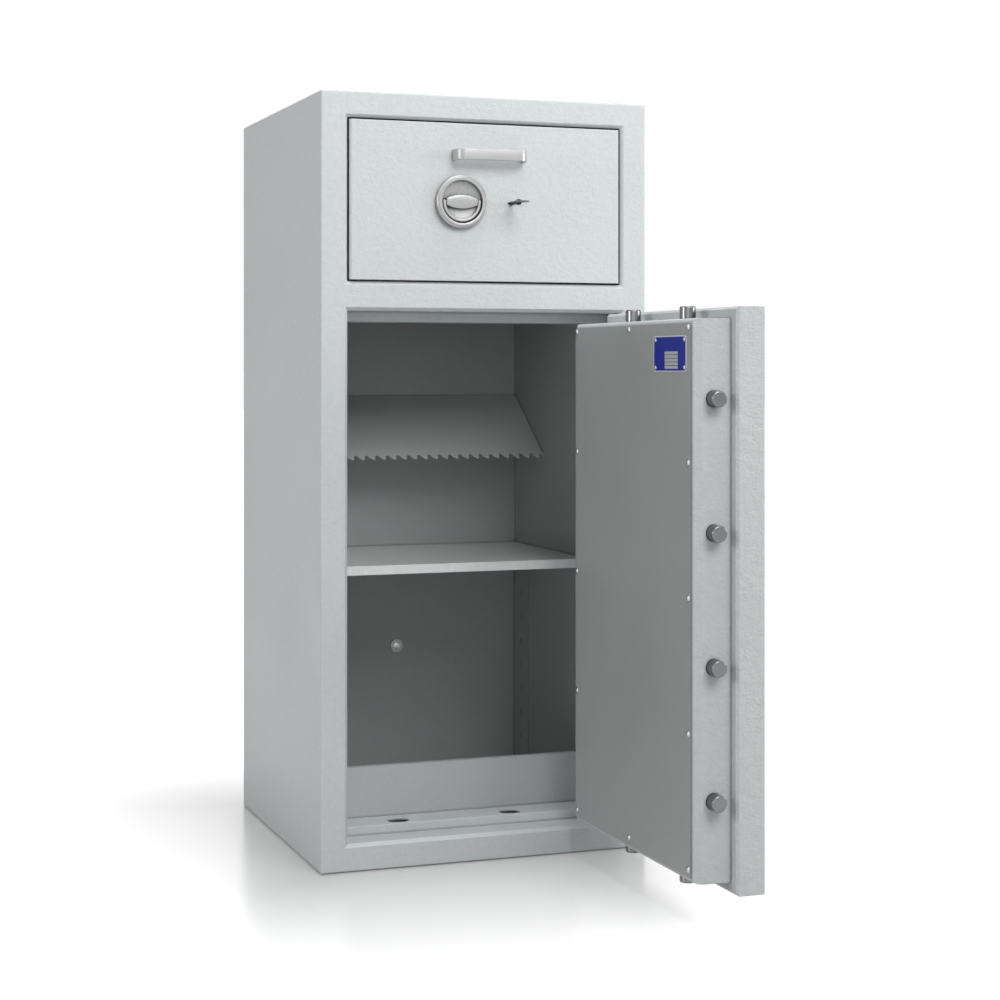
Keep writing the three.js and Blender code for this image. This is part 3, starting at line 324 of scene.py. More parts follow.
def coated(name, tint, pimples, depth, shine, edge_radius):
    """A powder coated steel finish. pimples is their number per metre, depth is in metres."""
    material = bpy.data.materials.new(name)
    material.use_nodes = True
    tree = material.node_tree
    surface = tree.nodes["Principled BSDF"]
    edges = add(tree, "ShaderNodeGroup", node_tree=soft_edges)
    edges.inputs["Radius"].default_value = edge_radius
    peel = add(tree, "ShaderNodeGroup", node_tree=powder_peel)
    set_inputs(peel, tint, Pimples=pimples, Depth=depth, Shine=shine)
    tree.links.new(edges.outputs["Normal"], peel.inputs["Normal"])
    # The edge mask also drives the painted highlight on the coat's edges.
    tree.links.new(edges.outputs["Edge"], peel.inputs["Edge"])
    # Painted shade: the coat is darkened in gaps and inner corners.
    dark = add(tree, "ShaderNodeGroup", node_tree=painted_crevice_shade)
    tree.links.new(peel.outputs["Color"], dark.inputs["Color"])
    tree.links.new(dark.outputs["Color"], surface.inputs["Base Color"])
    tree.links.new(peel.outputs["Roughness"], surface.inputs["Roughness"])
    tree.links.new(peel.outputs["Normal"], surface.inputs["Normal"])
    return material


def wear(names, material):
    """Gives CAD nodes their finish."""
    for name in names:
        nodes[name].material_slots[0].material = material


outer_grey = (0.600, 0.632, 0.638)
textured = {"pimples": 250.0, "depth": 0.0007, "shine": 0.46, "edge_radius": 0.0016}
outer_coat = coated("light_grey_textured_coat", outer_grey, **textured)
wear(["front_frame", "outer_casing"], outer_coat)
wear(["door_sill", "head_beam", "lock_side_jamb", "hinge_side_jamb"], outer_coat)


# Body inside: lining, sill plate, drop plate with its saw edge, shelf and slotted strips
# Thin steel sheet with a smoother coat. The sill plate is a little paler than the lining. The drop
# plate is paler still and the shelf palest, which paints in the light that falls on them.
satin = {"pimples": 420.0, "depth": 0.00012, "shine": 0.48, "edge_radius": 0.0007}
inner_grey = (0.435, 0.45, 0.452)
inner_coat = coated("inner_grey_satin_coat", inner_grey, **satin)
wear(["inner_liner", "shelf_strip_left", "shelf_strip_right"], inner_coat)
fitting_grey = (0.50, 0.515, 0.52)
fitting_coat = coated("fitting_grey_satin_coat", fitting_grey, **satin)
wear(["retaining_sill"], fitting_coat)
baffle_painted_light_grey = (0.65, 0.66, 0.66)
baffle_painted_light_coat = coated("baffle_satin_coat_painted_light", baffle_painted_light_grey, **satin)
wear(["drop_baffle"], baffle_painted_light_coat)
shelf_painted_light_grey = (0.86, 0.87, 0.87)
shelf_painted_light_coat = coated("shelf_satin_coat_painted_light", shelf_painted_light_grey, **{**satin, "shine": 0.42})
wear(["storage_shelf"], shelf_painted_light_coat)


# Concrete between the sheets of the body and of the door
# Cast in place and rough, with darker stones in a pale paste. Hardly any of it shows.
def cast_concrete():
    """Pale paste with darker stones set in it, pitted all over."""
    material = bpy.data.materials.new("cast_concrete")
    material.use_nodes = True
    tree = material.node_tree
    surface = tree.nodes["Principled BSDF"]
    surface.inputs["Roughness"].default_value = 0.95
    place = add(tree, "ShaderNodeTexCoord")
    stones = add(tree, "ShaderNodeTexVoronoi", {"Scale": 90.0})
    pits = add(tree, "ShaderNodeTexNoise", {"Scale": 260.0, "Detail": 5.0})
    shade = add(tree, "ShaderNodeValToRGB")
    shade.color_ramp.elements[0].color = (0.20, 0.195, 0.18, 1)
    shade.color_ramp.elements[1].color = (0.40, 0.39, 0.36, 1)
    shade.color_ramp.elements[1].position = 0.45
    bump = add(tree, "ShaderNodeBump", {"Distance": 0.0015})
    for pattern in (stones, pits):
        tree.links.new(place.outputs["Object"], pattern.inputs["Vector"])
    tree.links.new(stones.outputs["Distance"], shade.inputs["Fac"])
    tree.links.new(shade.outputs["Color"], surface.inputs["Base Color"])
    tree.links.new(pits.outputs["Fac"], bump.inputs["Height"])
    tree.links.new(bump.outputs["Normal"], surface.inputs["Normal"])
    return material


wear(["wall_infill", "door_infill"], cast_concrete())


# Hinges: two welded knuckles and pins at the right, and the leaves on the door
# Knuckles and leaves are coated with the body. The pins are turned and ground steel, with fine
# scratches that run round them.
def brushed_group():
    """Metal: hairline scratches stretched along one axis, as bumps and as a change in roughness."""
    group, given, result = new_group(
        "hairlines",
        [
            ("Stretch", "NodeSocketVector", (900.0, 900.0, 20.0)),
            ("Depth", "NodeSocketFloat", 0.00003),
            ("Shine", "NodeSocketFloat", 0.3),
            ("Tint", "NodeSocketColor", (0.5, 0.5, 0.5, 1)),
            ("Normal", "NodeSocketVector", (0.0, 0.0, 0.0)),
        ],
        finish_outputs,
    )
    place = add(group, "ShaderNodeTexCoord")
    stretched = add(group, "ShaderNodeVectorMath", operation="MULTIPLY")
    lines = add(group, "ShaderNodeTexNoise", {"Scale": 1.0, "Detail": 4.0, "Roughness": 0.65})
    smears = add(group, "ShaderNodeTexNoise", {"Scale": 14.0, "Detail": 3.0})
    group.links.new(place.outputs["Object"], stretched.inputs[0])
    group.links.new(given.outputs["Stretch"], stretched.inputs[1])
    group.links.new(stretched.outputs[0], lines.inputs["Vector"])
    group.links.new(place.outputs["Object"], smears.inputs["Vector"])
    bump = add(group, "ShaderNodeBump", {"Strength": 1.0})
    group.links.new(lines.outputs["Fac"], bump.inputs["Height"])
    group.links.new(given.outputs["Depth"], bump.inputs["Distance"])
    group.links.new(given.outputs["Normal"], bump.inputs["Normal"])
    group.links.new(bump.outputs["Normal"], result.inputs["Normal"])
    unrest = spread(group, (0.3, 0.7), (-0.05, 0.07))
    shine = add(group, "ShaderNodeMath", operation="ADD")
    group.links.new(smears.outputs["Fac"], unrest.inputs["Value"])
    group.links.new(given.outputs["Shine"], shine.inputs[0])
    group.links.new(unrest.outputs["Result"], shine.inputs[1])
    group.links.new(shine.outputs[0], result.inputs["Roughness"])
    tone = spread(group, (0.3, 0.7), (0.94, 1.05))
    tinted = add(group, "ShaderNodeVectorMath", operation="SCALE")
    group.links.new(lines.outputs["Fac"], tone.inputs["Value"])
    group.links.new(given.outputs["Tint"], tinted.inputs[0])
    group.links.new(tone.outputs["Result"], tinted.inputs["Scale"])
    group.links.new(tinted.outputs[0], result.inputs["Color"])
    return group


hairlines = brushed_group()


def bare_metal(name, tint, shine, stretch, depth=0.00002, metallic=1.0, reach=0.008):
    """A bare or plated metal finish with hairlines along the axis where stretch is small."""
    edge_radius = 0.0008
    material = bpy.data.materials.new(name)
    material.use_nodes = True
    tree = material.node_tree
    surface = tree.nodes["Principled BSDF"]
    surface.inputs["Metallic"].default_value = metallic
    edges = add(tree, "ShaderNodeGroup", node_tree=soft_edges)
    edges.inputs["Radius"].default_value = edge_radius
    brushed = add(tree, "ShaderNodeGroup", node_tree=hairlines)
    set_inputs(brushed, tint, Shine=shine, Stretch=stretch, Depth=depth)
    tree.links.new(edges.outputs["Normal"], brushed.inputs["Normal"])
    # Painted shade: the metal is darkened in gaps and inner corners, as far as reach.
    dark = add(tree, "ShaderNodeGroup", node_tree=painted_crevice_shade)
    dark.inputs["Reach"].default_value = reach
    tree.links.new(brushed.outputs["Color"], dark.inputs["Color"])
    tree.links.new(dark.outputs["Color"], surface.inputs["Base Color"])
    tree.links.new(brushed.outputs["Roughness"], surface.inputs["Roughness"])
    tree.links.new(brushed.outputs["Normal"], surface.inputs["Normal"])
    return material


for end in ("bottom", "top"):
    wear([f"hinge_knuckle_{end}", f"hinge_leaf_{end}"], outer_coat)
round_the_pin = (60.0, 60.0, 1500.0)
ground_steel = bare_metal("ground_steel_pin", (0.42, 0.43, 0.44), 0.25, round_the_pin)
wear(["hinge_pin_bottom", "hinge_pin_top"], ground_steel)


# Door: folded shell, boltwork box and the flat cover on it
# Shell and box have a coarser coat than the body, darkened as painted shade. The cover is a
# smooth sheet in a darker satin grey, and behind it lies the plated plate of the boltwork.
door_shaded_grey = (0.535, 0.561, 0.566)
coarse = {**textured, "pimples": 190.0, "depth": 0.0012}
door_coat = coated("door_grey_textured_coat", door_shaded_grey, **coarse)
wear(["door_shell", "bolt_box"], door_coat)
cover_grey = (0.375, 0.385, 0.387)
smooth = {"pimples": 900.0, "depth": 0.00005, "shine": 0.40, "edge_radius": 0.0006}
cover_coat = coated("cover_satin_grey", cover_grey, **smooth)
wear(["boltwork_cover"], cover_coat)
along_x = (25.0, 700.0, 700.0)
plated_sheet = bare_metal("zinc_plated_sheet", (0.40, 0.41, 0.41), 0.40, along_x)
wear(["boltwork_plate"], plated_sheet)


# Cover screws: twelve dome heads along the edges of the cover
# Plated steel, pressed smooth, each seated on the sheet.
def skin(rings, loop=False):
    """A closed surface through rings of points, as vertices and faces.

    Neighbouring points of neighbouring rings make a four-sided face. Unless the rings themselves
    close in a loop, each end ring is closed by a fan to its own middle. The faces are turned
    outwards by the sign of the volume that they hold.
    """
    count, around, _ = rings.shape
    points = rings.reshape(-1, 3)
    i, j = np.meshgrid(np.arange(count if loop else count - 1), np.arange(around), indexing="ij")
    after = (j + 1) % around
    next_ring = (i + 1) % count
    here, beyond = i * around, next_ring * around
    quads = np.stack([here + j, here + after, beyond + after, beyond + j], -1).reshape(-1, 4)
    fans = np.zeros((0, 3), int)
    if not loop:
        middles = np.stack([rings[0].mean(0), rings[-1].mean(0)])
        along = np.arange(around)
        follow = (along + 1) % around
        last = (count - 1) * around
        first_fan = np.stack([np.full(around, len(points)), follow, along], -1)
        last_fan = np.stack([np.full(around, len(points) + 1), last + along, last + follow], -1)
        fans = np.concatenate([first_fan, last_fan])
        points = np.concatenate([points, middles])
    triangles = np.concatenate([quads[:, [0, 1, 2]], quads[:, [0, 2, 3]], fans])
    a, b, c = (points[triangles[:, k]] for k in range(3))
    if np.einsum("ij,ij->i", a, np.cross(b, c)).sum() < 0:
        quads, fans = quads[:, ::-1], fans[:, ::-1]
    return points, quads.tolist() + fans.tolist()


def piece(name, shells, material, body, stands_for=(), sharp=35.0):
    """One object of one or more closed shells that rides on a CAD body, smooth up to that angle."""
    points, faces = [], []
    for shell_points, shell_faces in shells:
        start = sum(len(part) for part in points)
        faces += [[start + index for index in face] for face in shell_faces]
        points.append(shell_points)
    mesh = bpy.data.meshes.new(name)
    mesh.from_pydata(np.concatenate(points).tolist(), [], faces)
    mesh.shade_smooth()
    mesh.set_sharp_from_angle(angle=math.radians(sharp))
    mesh.materials.append(material)
    made = bpy.data.objects.new(name, mesh)
    bpy.context.scene.collection.objects.link(made)
    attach(made, body)
    if stands_for:
        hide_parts(*stands_for)
    return made


def turned(profile, around=48):
    """Rings of a turned shape: each (radius, out) of the profile goes round the out axis."""
    radius, out = np.asarray(profile, float).T
    angle = np.linspace(0, 2 * np.pi, around, endpoint=False)
    across = radius[:, None] * np.cos(angle)
    up = radius[:, None] * np.sin(angle)
    return np.stack([across, np.broadcast_to(out[:, None], across.shape), up], -1)


def stand_on(points, origin, outward):
    """Local (across, out, up) in millimetres to the frame's metres, standing on a panel.

    Out leaves the panel along outward; across is to the right for someone who faces the panel.
    """
    out = np.array(outward, float)
    up = np.array([0.0, 0.0, 1.0]) if abs(out[2]) < 0.5 else np.array([0.0, 1.0, 0.0])
    across = np.cross(up, out)
    basis = np.stack([across, out, up])
    return points @ basis / 1000.0 + np.array(origin, float)


def round_over(radius, steps=5):
    """Quarter circle from (0, -radius) to (-radius, 0), as (radius, out) offsets from a corner."""
    turn = np.linspace(0, np.pi / 2, steps)
    return np.stack([radius * (np.cos(turn) - 1), radius * (np.sin(turn) - 1)], -1)


cover_low, cover_high = np.array(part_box("boltwork_cover"))
screw_radius, screw_height = 5.4, 3.2
sunk, rim_height = -0.3, 0.5
dome_foot, dome_end = screw_radius * 0.96, np.pi / 2 * 0.94
dome_turn = np.linspace(0.0, dome_end, 7)
dome_radius = dome_foot * np.cos(dome_turn)
dome_height = rim_height + (screw_height - rim_height) * np.sin(dome_turn)
dome = np.concatenate([
    [[screw_radius, sunk], [screw_radius, rim_height]],
    np.stack([dome_radius, dome_height], -1),
])
fine_lines = 0.00001
all_ways = (200.0, 200.0, 200.0)
screw_steel = bare_metal("plated_screw_steel", (0.46, 0.47, 0.48), 0.30, all_ways, fine_lines)
from_bottom, from_top, from_free_side, from_hinge_side = 0.0132, 0.0067, 0.0060, 0.0070
screws_per_side = 5
side_heights = np.linspace(cover_low[2] + from_bottom, cover_high[2] - from_top, screws_per_side)
free_row, hinge_row = cover_low[1] + from_free_side, cover_high[1] - from_hinge_side
middle_row = (cover_low[1] + cover_high[1]) / 2
screw_places = [(row, z) for row in (free_row, hinge_row) for z in side_heights]
screw_places += [(middle_row, side_heights[0]), (middle_row, side_heights[-1])]
cover_front = (-1, 0, 0)
head = turned(dome, 28)
screws = [skin(stand_on(head, (cover_low[0], y, z), cover_front)) for y, z in screw_places]
piece("cover_screws", screws, screw_steel, "door")


# Label plate: blue enamel on thin aluminium, left blank, with a pale panel of five empty rows
# It is held by four round rivets at its corners.
def rounded_outline(width, height, radius, per_corner=8):
    """Corner points of a rectangle with rounded corners: a small circle is set into each corner."""
    turn = np.linspace(0, np.pi / 2, per_corner)
    angle = np.concatenate([turn + k * np.pi / 2 for k in range(4)])
    sides = np.repeat([[1, 1], [-1, 1], [-1, -1], [1, -1]], per_corner, axis=0)
    inner = sides * [width / 2 - radius, height / 2 - radius]
    return inner + radius * np.stack([np.cos(angle), np.sin(angle)], -1)


def pad(width, height, radius, low, high, edge=0.2):
    """Rings of a flat plate with rounded corners between two heights, with its outer edge eased."""
    full = rounded_outline(width, height, radius)
    eased = rounded_outline(width - 2 * edge, height - 2 * edge, max(radius - edge, 0.1))
    stack = [(full, low), (full, high - edge), (eased, high)]
    return np.stack([np.insert(outline, 1, level, axis=1) for outline, level in stack])


def enamel(name, tint, shine):
    """A printed or enamelled colour on metal, with faint streaks."""
    material = bpy.data.materials.new(name)
    material.use_nodes = True
    tree = material.node_tree
    surface = tree.nodes["Principled BSDF"]
    surface.inputs["Coat Weight"].default_value = 0.3
    peel = add(tree, "ShaderNodeGroup", node_tree=powder_peel)
    set_inputs(peel, tint, Pimples=1500.0, Depth=0.00001, Shine=shine)
    tree.links.new(peel.outputs["Color"], surface.inputs["Base Color"])
    tree.links.new(peel.outputs["Roughness"], surface.inputs["Roughness"])
    return material


plate_width, plate_height = 125.0, 59.0
from_side, below_top = 0.0755, 0.0492
plate_middle = (cover_low[0], cover_low[1] + from_side, cover_high[2] - below_top)


def on_plate(rings, across=0.0, up=0.0):
    """Rings moved along the label plate and set on the cover."""
    return skin(stand_on(rings + [across, 0.0, up], plate_middle, cover_front))


rolled = (30.0, 900.0, 900.0)
label_metal = bare_metal("label_aluminium", (0.86, 0.88, 0.92), 0.40, rolled, fine_lines, 0.2)
plate_corner, field_corner = 6.0, 5.0
plate_back, plate_front = -0.2, 0.8
sheet = on_plate(pad(plate_width, plate_height, plate_corner, plate_back, plate_front))
piece("label_plate", [sheet], label_metal, "door")
blue = enamel("label_blue_enamel", (0.010, 0.022, 0.32), 0.35)
field_width, field_height = plate_width - 4.0, plate_height - 3.0
field = pad(field_width, field_height, field_corner, low=0.6, high=0.95, edge=0.1)
blue_field = on_plate(field)
piece("label_blue_field", [blue_field], blue, "door")
pale = enamel("label_pale_rows", (0.50, 0.51, 0.50), 0.45)
row_pitch, row_count = 5.9, 5
row_across, first_row_up = 6.2, 1.2
row = pad(width=50.0, height=4.9, radius=0.4, low=0.9, high=1.1, edge=0.08)
rows = [on_plate(row, row_across, first_row_up - row_pitch * k) for k in range(row_count)]
piece("label_pale_panel", rows, pale, "door")
rivet = np.array([[3.5, 0.8], [3.5, 1.1], [3.1, 1.6], [2.2, 2.0], [1.0, 2.2]])
rivet_across, rivet_up = 55.0, 23.0
rivet_places = [(a * rivet_across, b * rivet_up) for a in (-1, 1) for b in (-1, 1)]
rivets = [on_plate(turned(rivet, 20), across, up) for across, up in rivet_places]
piece("label_rivets", rivets, screw_steel, "door")


# Bolts: four to the free side, two up and two down, 27 mm across
# Turned and polished round steel, each nose rounded over so that it finds its slot.
def ends(box, outward):
    """The middles of the back and of the front of a box that faces outward."""
    low, high = np.array(box)
    middle, reach = (low + high) / 2, (high - low) / 2 * outward
    return middle - reach, middle + reach


def bolt_profile(radius, length, nose=2.6, ease=0.6):
    """(radius, out) from the eased foot to the nose, which is rounded over to a flat face."""
    foot = [[radius - ease, 0.0], [radius, ease]]
    flat = [[radius * 0.55, length]]
    return np.concatenate([foot, round_over(nose) + [radius, length], flat])


# The polished steel's dark tint is a painted reflection of darker surroundings; the upright bolts'
# tint is darker still, as painted shade.
bolt_shine = 0.18
side_grey, upright_shaded_grey = (0.18, 0.183, 0.186), (0.17, 0.172, 0.174)
on_side, upright = (1100.0, 60.0, 1100.0), (1100.0, 1100.0, 60.0)
polished = bare_metal("polished_bolt_steel", side_grey, bolt_shine, on_side, fine_lines)
polished_up = bare_metal(
    "polished_bolt_steel_upright", upright_shaded_grey, bolt_shine, upright, fine_lines
)
bolt_groups = [
    ("side_bolts", [f"side_bolt_{k}" for k in range(1, 5)], (0, -1, 0), polished),
    ("top_bolts", ["top_bolt_1", "top_bolt_2"], (0, 0, 1), polished_up),
    ("bottom_bolts", ["bottom_bolt_1", "bottom_bolt_2"], (0, 0, -1), polished_up),
]
for body, names, outward, material in bolt_groups:
    for name in names:
        box = np.array(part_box(name))
        size = (box[1] - box[0]) * 1000.0
        radius, length = float(size.min() / 2), float(size.max())
        foot, _ = ends(box, outward)
        bolt = skin(stand_on(turned(bolt_profile(radius, length), 64), foot, outward))
        piece(f"{name}_turned", [bolt], material, body, [name])


# Boltwork behind the cover and behind the drawer front: drive bars and cams
# Laser-cut sheet, zinc plated, with the lines of the rolling mill.
bar_metal = bare_metal("zinc_plated_bar", (0.38, 0.39, 0.40), 0.38, (700.0, 700.0, 30.0))
wear(["side_bolt_bar", "top_bolt_bar", "bottom_bolt_bar"], bar_metal)
wear(["door_cam", "drawer_cam"], bar_metal)


# Turning handles, one on the door and one on the drawer
# Die-cast and satin silver: a fixed ring with a dished floor and an index line at its top, a
# lens-shaped hub on the spindle, and a bail that folds down round the hub.
def ring_rings(outer=49.0, inner=39.0, height=13.0, dish=2.0, bore=7.3, around=120):
    """The fixed ring: a closed profile goes round the spindle. At the top the crown dips in a short
    line, 0.5 mm deep, by a bell curve of the angle."""
    crown = np.concatenate([
        [[bore, 0.3], [bore, dish + 0.3], [inner - 2.0, dish + 0.3]],
        [[inner - 0.6, dish + 0.9], [inner, dish + 2.3], [inner, height - 1.4]],
        [[inner + 0.4, height - 0.5], [inner + 1.3, height - 0.1], [inner + 3.2, height]],
        [[outer - 4.6, height - 0.15]],
        round_over(3.6, 6) + [outer, height - 0.6],
        [[outer, 0.3]],
    ])
    rings = turned(crown, around)
    angle = np.linspace(0, 2 * np.pi, around, endpoint=False)
    line_at, line_width, line_depth = np.pi / 2, 0.020, 0.5
    on_top = crown[:, 1] > height - 0.3
    rings[on_top, :, 1] -= line_depth * np.exp(-(((angle - line_at) / line_width) ** 2))
    return rings


def hub_shells(length=60.0, height=26.0, end=12.0, face=11.0, back=2.1, spindle=7.0, reach=20.0):
    """The hub: its outline is two shallow parabolas joined by straight ends. The outline rises as a
    wall, is rounded over at the front and closes as a face crowned by 0.5 mm. A round spindle goes
    back through the panel."""
    crowning, edge = 0.5, 2.0
    share = np.linspace(-1, 1, 25)
    rise = end / 2 + (height - end) / 2 * (1 - share**2)
    across = share * length / 2
    outline = np.concatenate([np.stack([across, rise], -1), np.stack([across, -rise], -1)[::-1]])
    half = np.array([length / 2, height / 2])
    stack = [(np.ones(2), back)]
    stack += [(1 + inset / half, face + lowered) for inset, lowered in round_over(edge)]
    face_scale = stack[-1][0]
    for shrink in (0.75, 0.45, 0.15):
        stack.append((face_scale * shrink, face + crowning * (1 - shrink**2)))
    rings = np.stack([np.insert(outline * scale, 1, level, axis=1) for scale, level in stack])
    return [rings, turned([[spindle, -reach], [spindle, back + 1.5]], 32)]


def squared(wave, power):
    """A sine or cosine, its size raised to a power below 1, which makes a circle squarer."""
    return np.sign(wave) * np.abs(wave) ** power


def bail_shells(radius=34.0, wide=6.0, thick=6.0, rise=1.0, middle=7.45, hub_half=30.0, pin=1.8):
    """The bail: an oval section is carried down one leg, round half a circle and up the other leg.
    Its ends are domes, made by shrinking the section as a half circle. Two pins reach the hub."""
    bend = np.linspace(np.pi, 2 * np.pi, 41)
    arc = np.stack([radius * np.cos(bend), radius * np.sin(bend)], -1)
    path = np.concatenate([[[-radius, rise]], arc, [[radius, rise]]])
    tangent = np.gradient(path, axis=0)
    tangent[0] = tangent[1] = (0.0, -1.0)
    tangent[-1] = tangent[-2] = (0.0, 1.0)
    tangent /= np.linalg.norm(tangent, axis=1, keepdims=True)
    dome = np.linspace(np.pi / 2 * 0.9, 0, 6)
    scale = np.concatenate([np.cos(dome), np.ones(len(path) - 2), np.cos(dome)[::-1]])
    start = path[0] - tangent[0] * (np.sin(dome) * thick / 2)[:, None]
    finish = path[-1] + tangent[-1] * (np.sin(dome[::-1]) * thick / 2)[:, None]
    line = np.concatenate([start, path[1:-1], finish])
    down, up = (np.repeat(end, len(dome), 0) for end in (tangent[:1], tangent[-1:]))
    heading = np.concatenate([down, tangent[1:-1], up])
    side = np.stack([heading[:, 1], -heading[:, 0]], -1)
    angle = np.linspace(0, 2 * np.pi, 20, endpoint=False)
    power = 0.75
    sideways = wide / 2 * squared(np.cos(angle), power)
    outwards = thick / 2 * squared(np.sin(angle), power)
    plane = line[:, None, :] + side[:, None, :] * (scale[:, None] * sideways)[..., None]
    rings = np.stack([plane[..., 0], middle + scale[:, None] * outwards, plane[..., 1]], -1)
    pins, sunk_in_hub = [], 5.0
    for sign in (-1, 1):
        x, y, z = np.moveaxis(turned([[pin, hub_half - sunk_in_hub], [pin, radius]], 16), -1, 0)
        pins.append(np.stack([sign * y, middle + x, rise + z], -1))
    return [rings, *pins]


# The wide reach of the painted shade darkens the dish floor inside the ring.
silver_tint, cast_grain = (0.43, 0.432, 0.435), (260.0, 260.0, 260.0)
silver = bare_metal(
    "satin_silver_casting", silver_tint, 0.28, cast_grain, metallic=0.35, reach=0.026
)
seat = 0.0003
for side, outward, ring_body, turn_body, bail_body in [
    ("drawer", (0, -1, 0), "drawer", "drawer_handle", "drawer_bail"),
    ("door", (1, 0, 0), "door", "door_handle", "door_bail"),
]:
    panel = ends(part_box(f"{side}_handle_rose"), outward)[0] - seat * np.array(outward)
    inside = (panel - ends(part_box(f"{side}_handle_hub"), outward)[0]) @ outward
    ring = skin(stand_on(ring_rings(), panel, outward), loop=True)
    piece(f"{side}_handle_ring", [ring], silver, ring_body, [f"{side}_handle_rose"])
    hub = [skin(stand_on(rings, panel, outward)) for rings in hub_shells(reach=inside * 1000.0)]
    piece(f"{side}_handle_grip", hub, silver, turn_body, [f"{side}_handle_hub"])
    bail = [skin(stand_on(rings, panel, outward)) for rings in bail_shells()]
    piece(f"{side}_handle_bow", bail, silver, bail_body, [f"{side}_handle_bail"])


# Locks: a plated case behind each front, its drum and bolt, and the key in it
# The key has a flat oval bow with an oval eye, a collar, a round shank and a stepped bit. How far
# the bow stands out, and its width, height and thickness, are in millimetres.
bow_out, bow = 56.0, (27.0, 22.0, 3.0)


def key_shells(tip, eye=(11.0, 7.0), shank=3.5, collar=(5.5, 5.0)):
    """The key. The bow is a ring: for each angle the section between the eye and the rim is a
    rounded bar. Shank and collar are turned. The bit's half width steps along the shank."""
    angle = np.linspace(0, 2 * np.pi, 64, endpoint=False)
    section_turn = np.linspace(0, 2 * np.pi, 16, endpoint=False)
    power = 0.6
    share = 0.5 + 0.5 * squared(np.cos(section_turn), power)
    lift = bow[2] / 2 * squared(np.sin(section_turn), power)
    inner = np.stack([eye[0] / 2 * np.cos(angle), eye[1] / 2 * np.sin(angle)], -1)
    rim = np.stack([bow[0] / 2 * np.cos(angle), bow[1] / 2 * np.sin(angle)], -1)
    flat = inner[:, None, :] + (rim - inner)[:, None, :] * share[None, :, None]
    lifts = np.broadcast_to(lift, flat.shape[:2])
    ring = np.stack([flat[..., 0], bow_out + flat[..., 1], lifts], -1)
    neck = bow_out - bow[1] / 2
    shaft = turned([[shank - 0.4, tip], [shank, tip + 0.5], [shank, neck + 3.0]], 28)
    collar_low = neck - 4.0 - collar[1]
    band = [[collar[0] - 0.5, collar_low], [collar[0], collar_low + 0.5]]
    band += [[collar[0], neck - 4.5], [collar[0] - 0.5, neck - 4.0]]
    steps = [(0.3, 6.0), (3.0, 6.0), (3.0, 4.8), (5.2, 4.8), (5.2, 6.0)]
    steps += [(7.4, 6.0), (7.4, 4.5), (9.6, 4.5), (9.6, 5.6), (12.0, 5.6)]
    bit_half_thick = 1.3
    x, z = np.array([[1, -1, -1, 1], [1, 1, -1, -1]])
    levels = [(x * half, np.full(4, tip + along), z * bit_half_thick) for along, half in steps]
    bit = np.stack([np.stack(level, -1) for level in levels])
    return [(ring, True), (shaft, False), (turned(band, 28), False), (bit, False)]


worn = (400.0, 400.0, 400.0)
key_steel = bare_metal("worn_key_bow_steel", (0.14, 0.142, 0.146), 0.24, worn)
key_black = bare_metal("blackened_key_shank", (0.012, 0.012, 0.013), 0.30, worn, metallic=0.4)
case_metal = bare_metal("zinc_plated_case", (0.42, 0.42, 0.41), 0.40, (500.0, 30.0, 500.0))
drum_lines = (900.0, 900.0, 60.0)
drum_steel = bare_metal("lock_drum_steel", (0.34, 0.345, 0.35), 0.26, drum_lines, fine_lines)
bow_tip = (bow_out + bow[1] / 2) / 1000.0
for side, outward in [("drawer", (0, -1, 0)), ("door", (1, 0, 0))]:
    back, front = ends(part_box(f"{side}_key"), outward)
    panel = front - bow_tip * np.array(outward)
    shells = key_shells(tip=(back - panel) @ outward * 1000.0)
    bow_skin, *shank = [skin(stand_on(rings, panel, outward), loop) for rings, loop in shells]
    key_body = f"{side}_key_body"
    piece(f"{side}_key_shank", shank, key_black, key_body, [f"{side}_key"])
    piece(f"{side}_key_bow", [bow_skin], key_steel, key_body)
wear(["door_lock_case", "drawer_lock_case"], case_metal)
wear(["door_lock_drum", "drawer_lock_drum", "door_lock_bolt", "drawer_lock_bolt"], drum_steel)


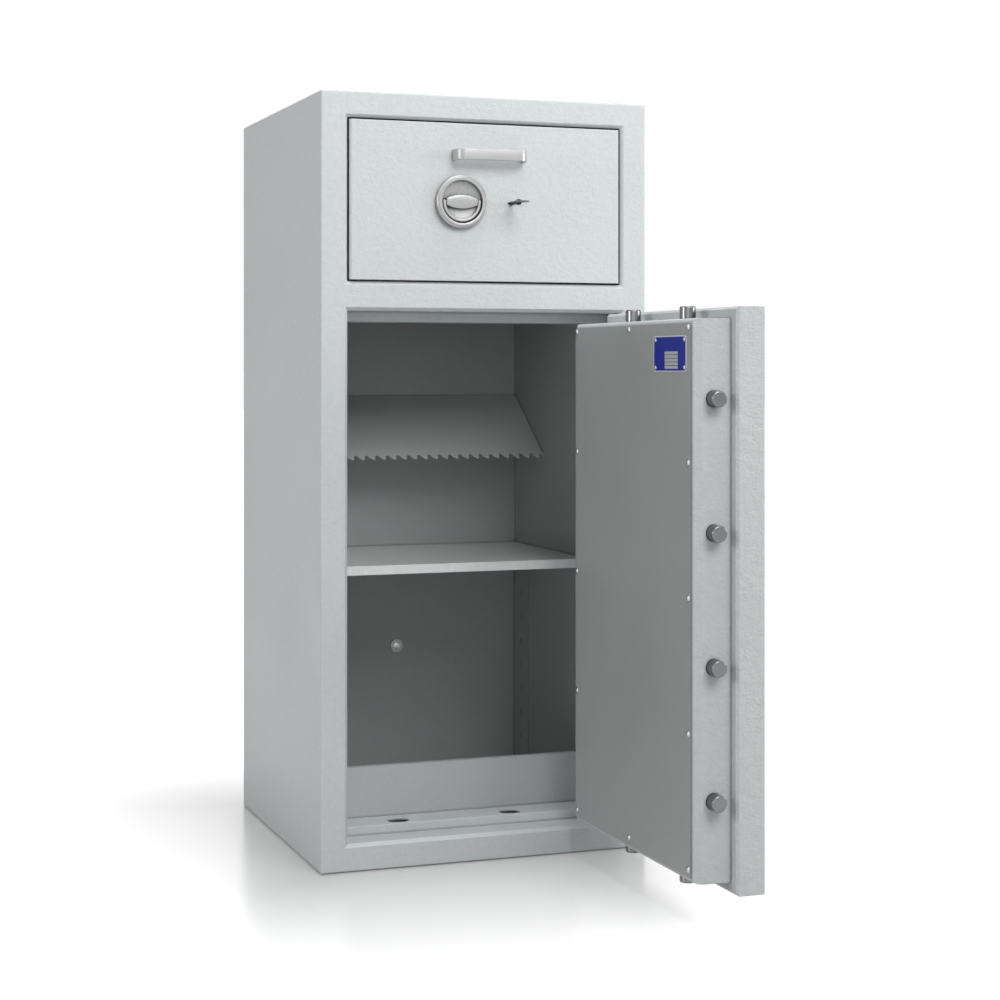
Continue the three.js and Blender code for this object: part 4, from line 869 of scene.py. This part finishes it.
# Drawer: pan-shaped front, tray with its rails, drop flap, runners and side bolts
# The front has the body's textured coat; tray, flap and runners are plated sheet.
drawer_coat = coated("drawer_grey_textured_coat", outer_grey, **textured)
wear(["drawer_front"], drawer_coat)
tray_metal = bare_metal("zinc_plated_tray", (0.45, 0.46, 0.46), 0.38, (800.0, 25.0, 800.0))
wear(["deposit_tray", "drop_flap", "drawer_runner_left", "drawer_runner_right"], tray_metal)
wear(["drawer_bolt_left", "drawer_bolt_right"], polished)


# Drawer pull: a bow of bent strip with eased edges
# It is satin silver like the handles and is screwed on from inside.
def swept_strip(path, thick, tall, ease):
    """A rounded rectangle carried along a path in the (across, out) plane, square to the path."""
    tangent = np.gradient(path, axis=0)
    tangent[0], tangent[-1] = (0.0, 1.0), (0.0, -1.0)
    tangent /= np.linalg.norm(tangent, axis=1, keepdims=True)
    normal = np.stack([tangent[:, 1], -tangent[:, 0]], -1)
    outline = rounded_outline(thick, tall, ease, 5)
    plane = path[:, None, :] + normal[:, None, :] * outline[None, :, :1]
    up = np.broadcast_to(outline[:, 1], plane.shape[:2])
    return np.stack([plane[..., 0], plane[..., 1], up], -1)


pull_box = np.array(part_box("drawer_pull"))
pull_length, pull_out, pull_tall = (pull_box[1] - pull_box[0]) * 1000.0
pull_thick, strip_ease = 4.0, 1.1
bend_radius = 16.0
half = pull_length / 2 - pull_thick / 2
crown = pull_out - pull_thick / 2
bend_turn = np.linspace(0, np.pi / 2, 9)
bend_across = -half + bend_radius * (1 - np.cos(bend_turn))
bend_out = crown - bend_radius * (1 - np.sin(bend_turn))
left_bend = np.stack([bend_across, bend_out], -1)
left_leg = np.array([[-half, 0.0], [-half, (crown - bend_radius) * 0.5]])
left = np.concatenate([left_leg, left_bend, [[-half * 0.5, crown]]])
strip_path = np.concatenate([left, left[::-1] * [-1, 1]])
strip = swept_strip(strip_path, pull_thick, pull_tall, strip_ease)
pull_tint = (0.45, 0.452, 0.455)
pull_silver = bare_metal("satin_silver_strip", pull_tint, 0.34, along_x, metallic=0.25)
pull_front = (0, -1, 0)
pull_foot, _ = ends(pull_box, pull_front)
pull_shell = skin(stand_on(strip, pull_foot, pull_front))
piece("drawer_pull_bow", [pull_shell], pull_silver, "drawer", ["drawer_pull"])


# Anchor sleeve in the back wall
# Turned steel with a flange, plated.
anchor_metal = bare_metal("plated_anchor_sleeve", (0.45, 0.455, 0.46), 0.35, all_ways)
wear(["anchor_sleeve"], anchor_metal)
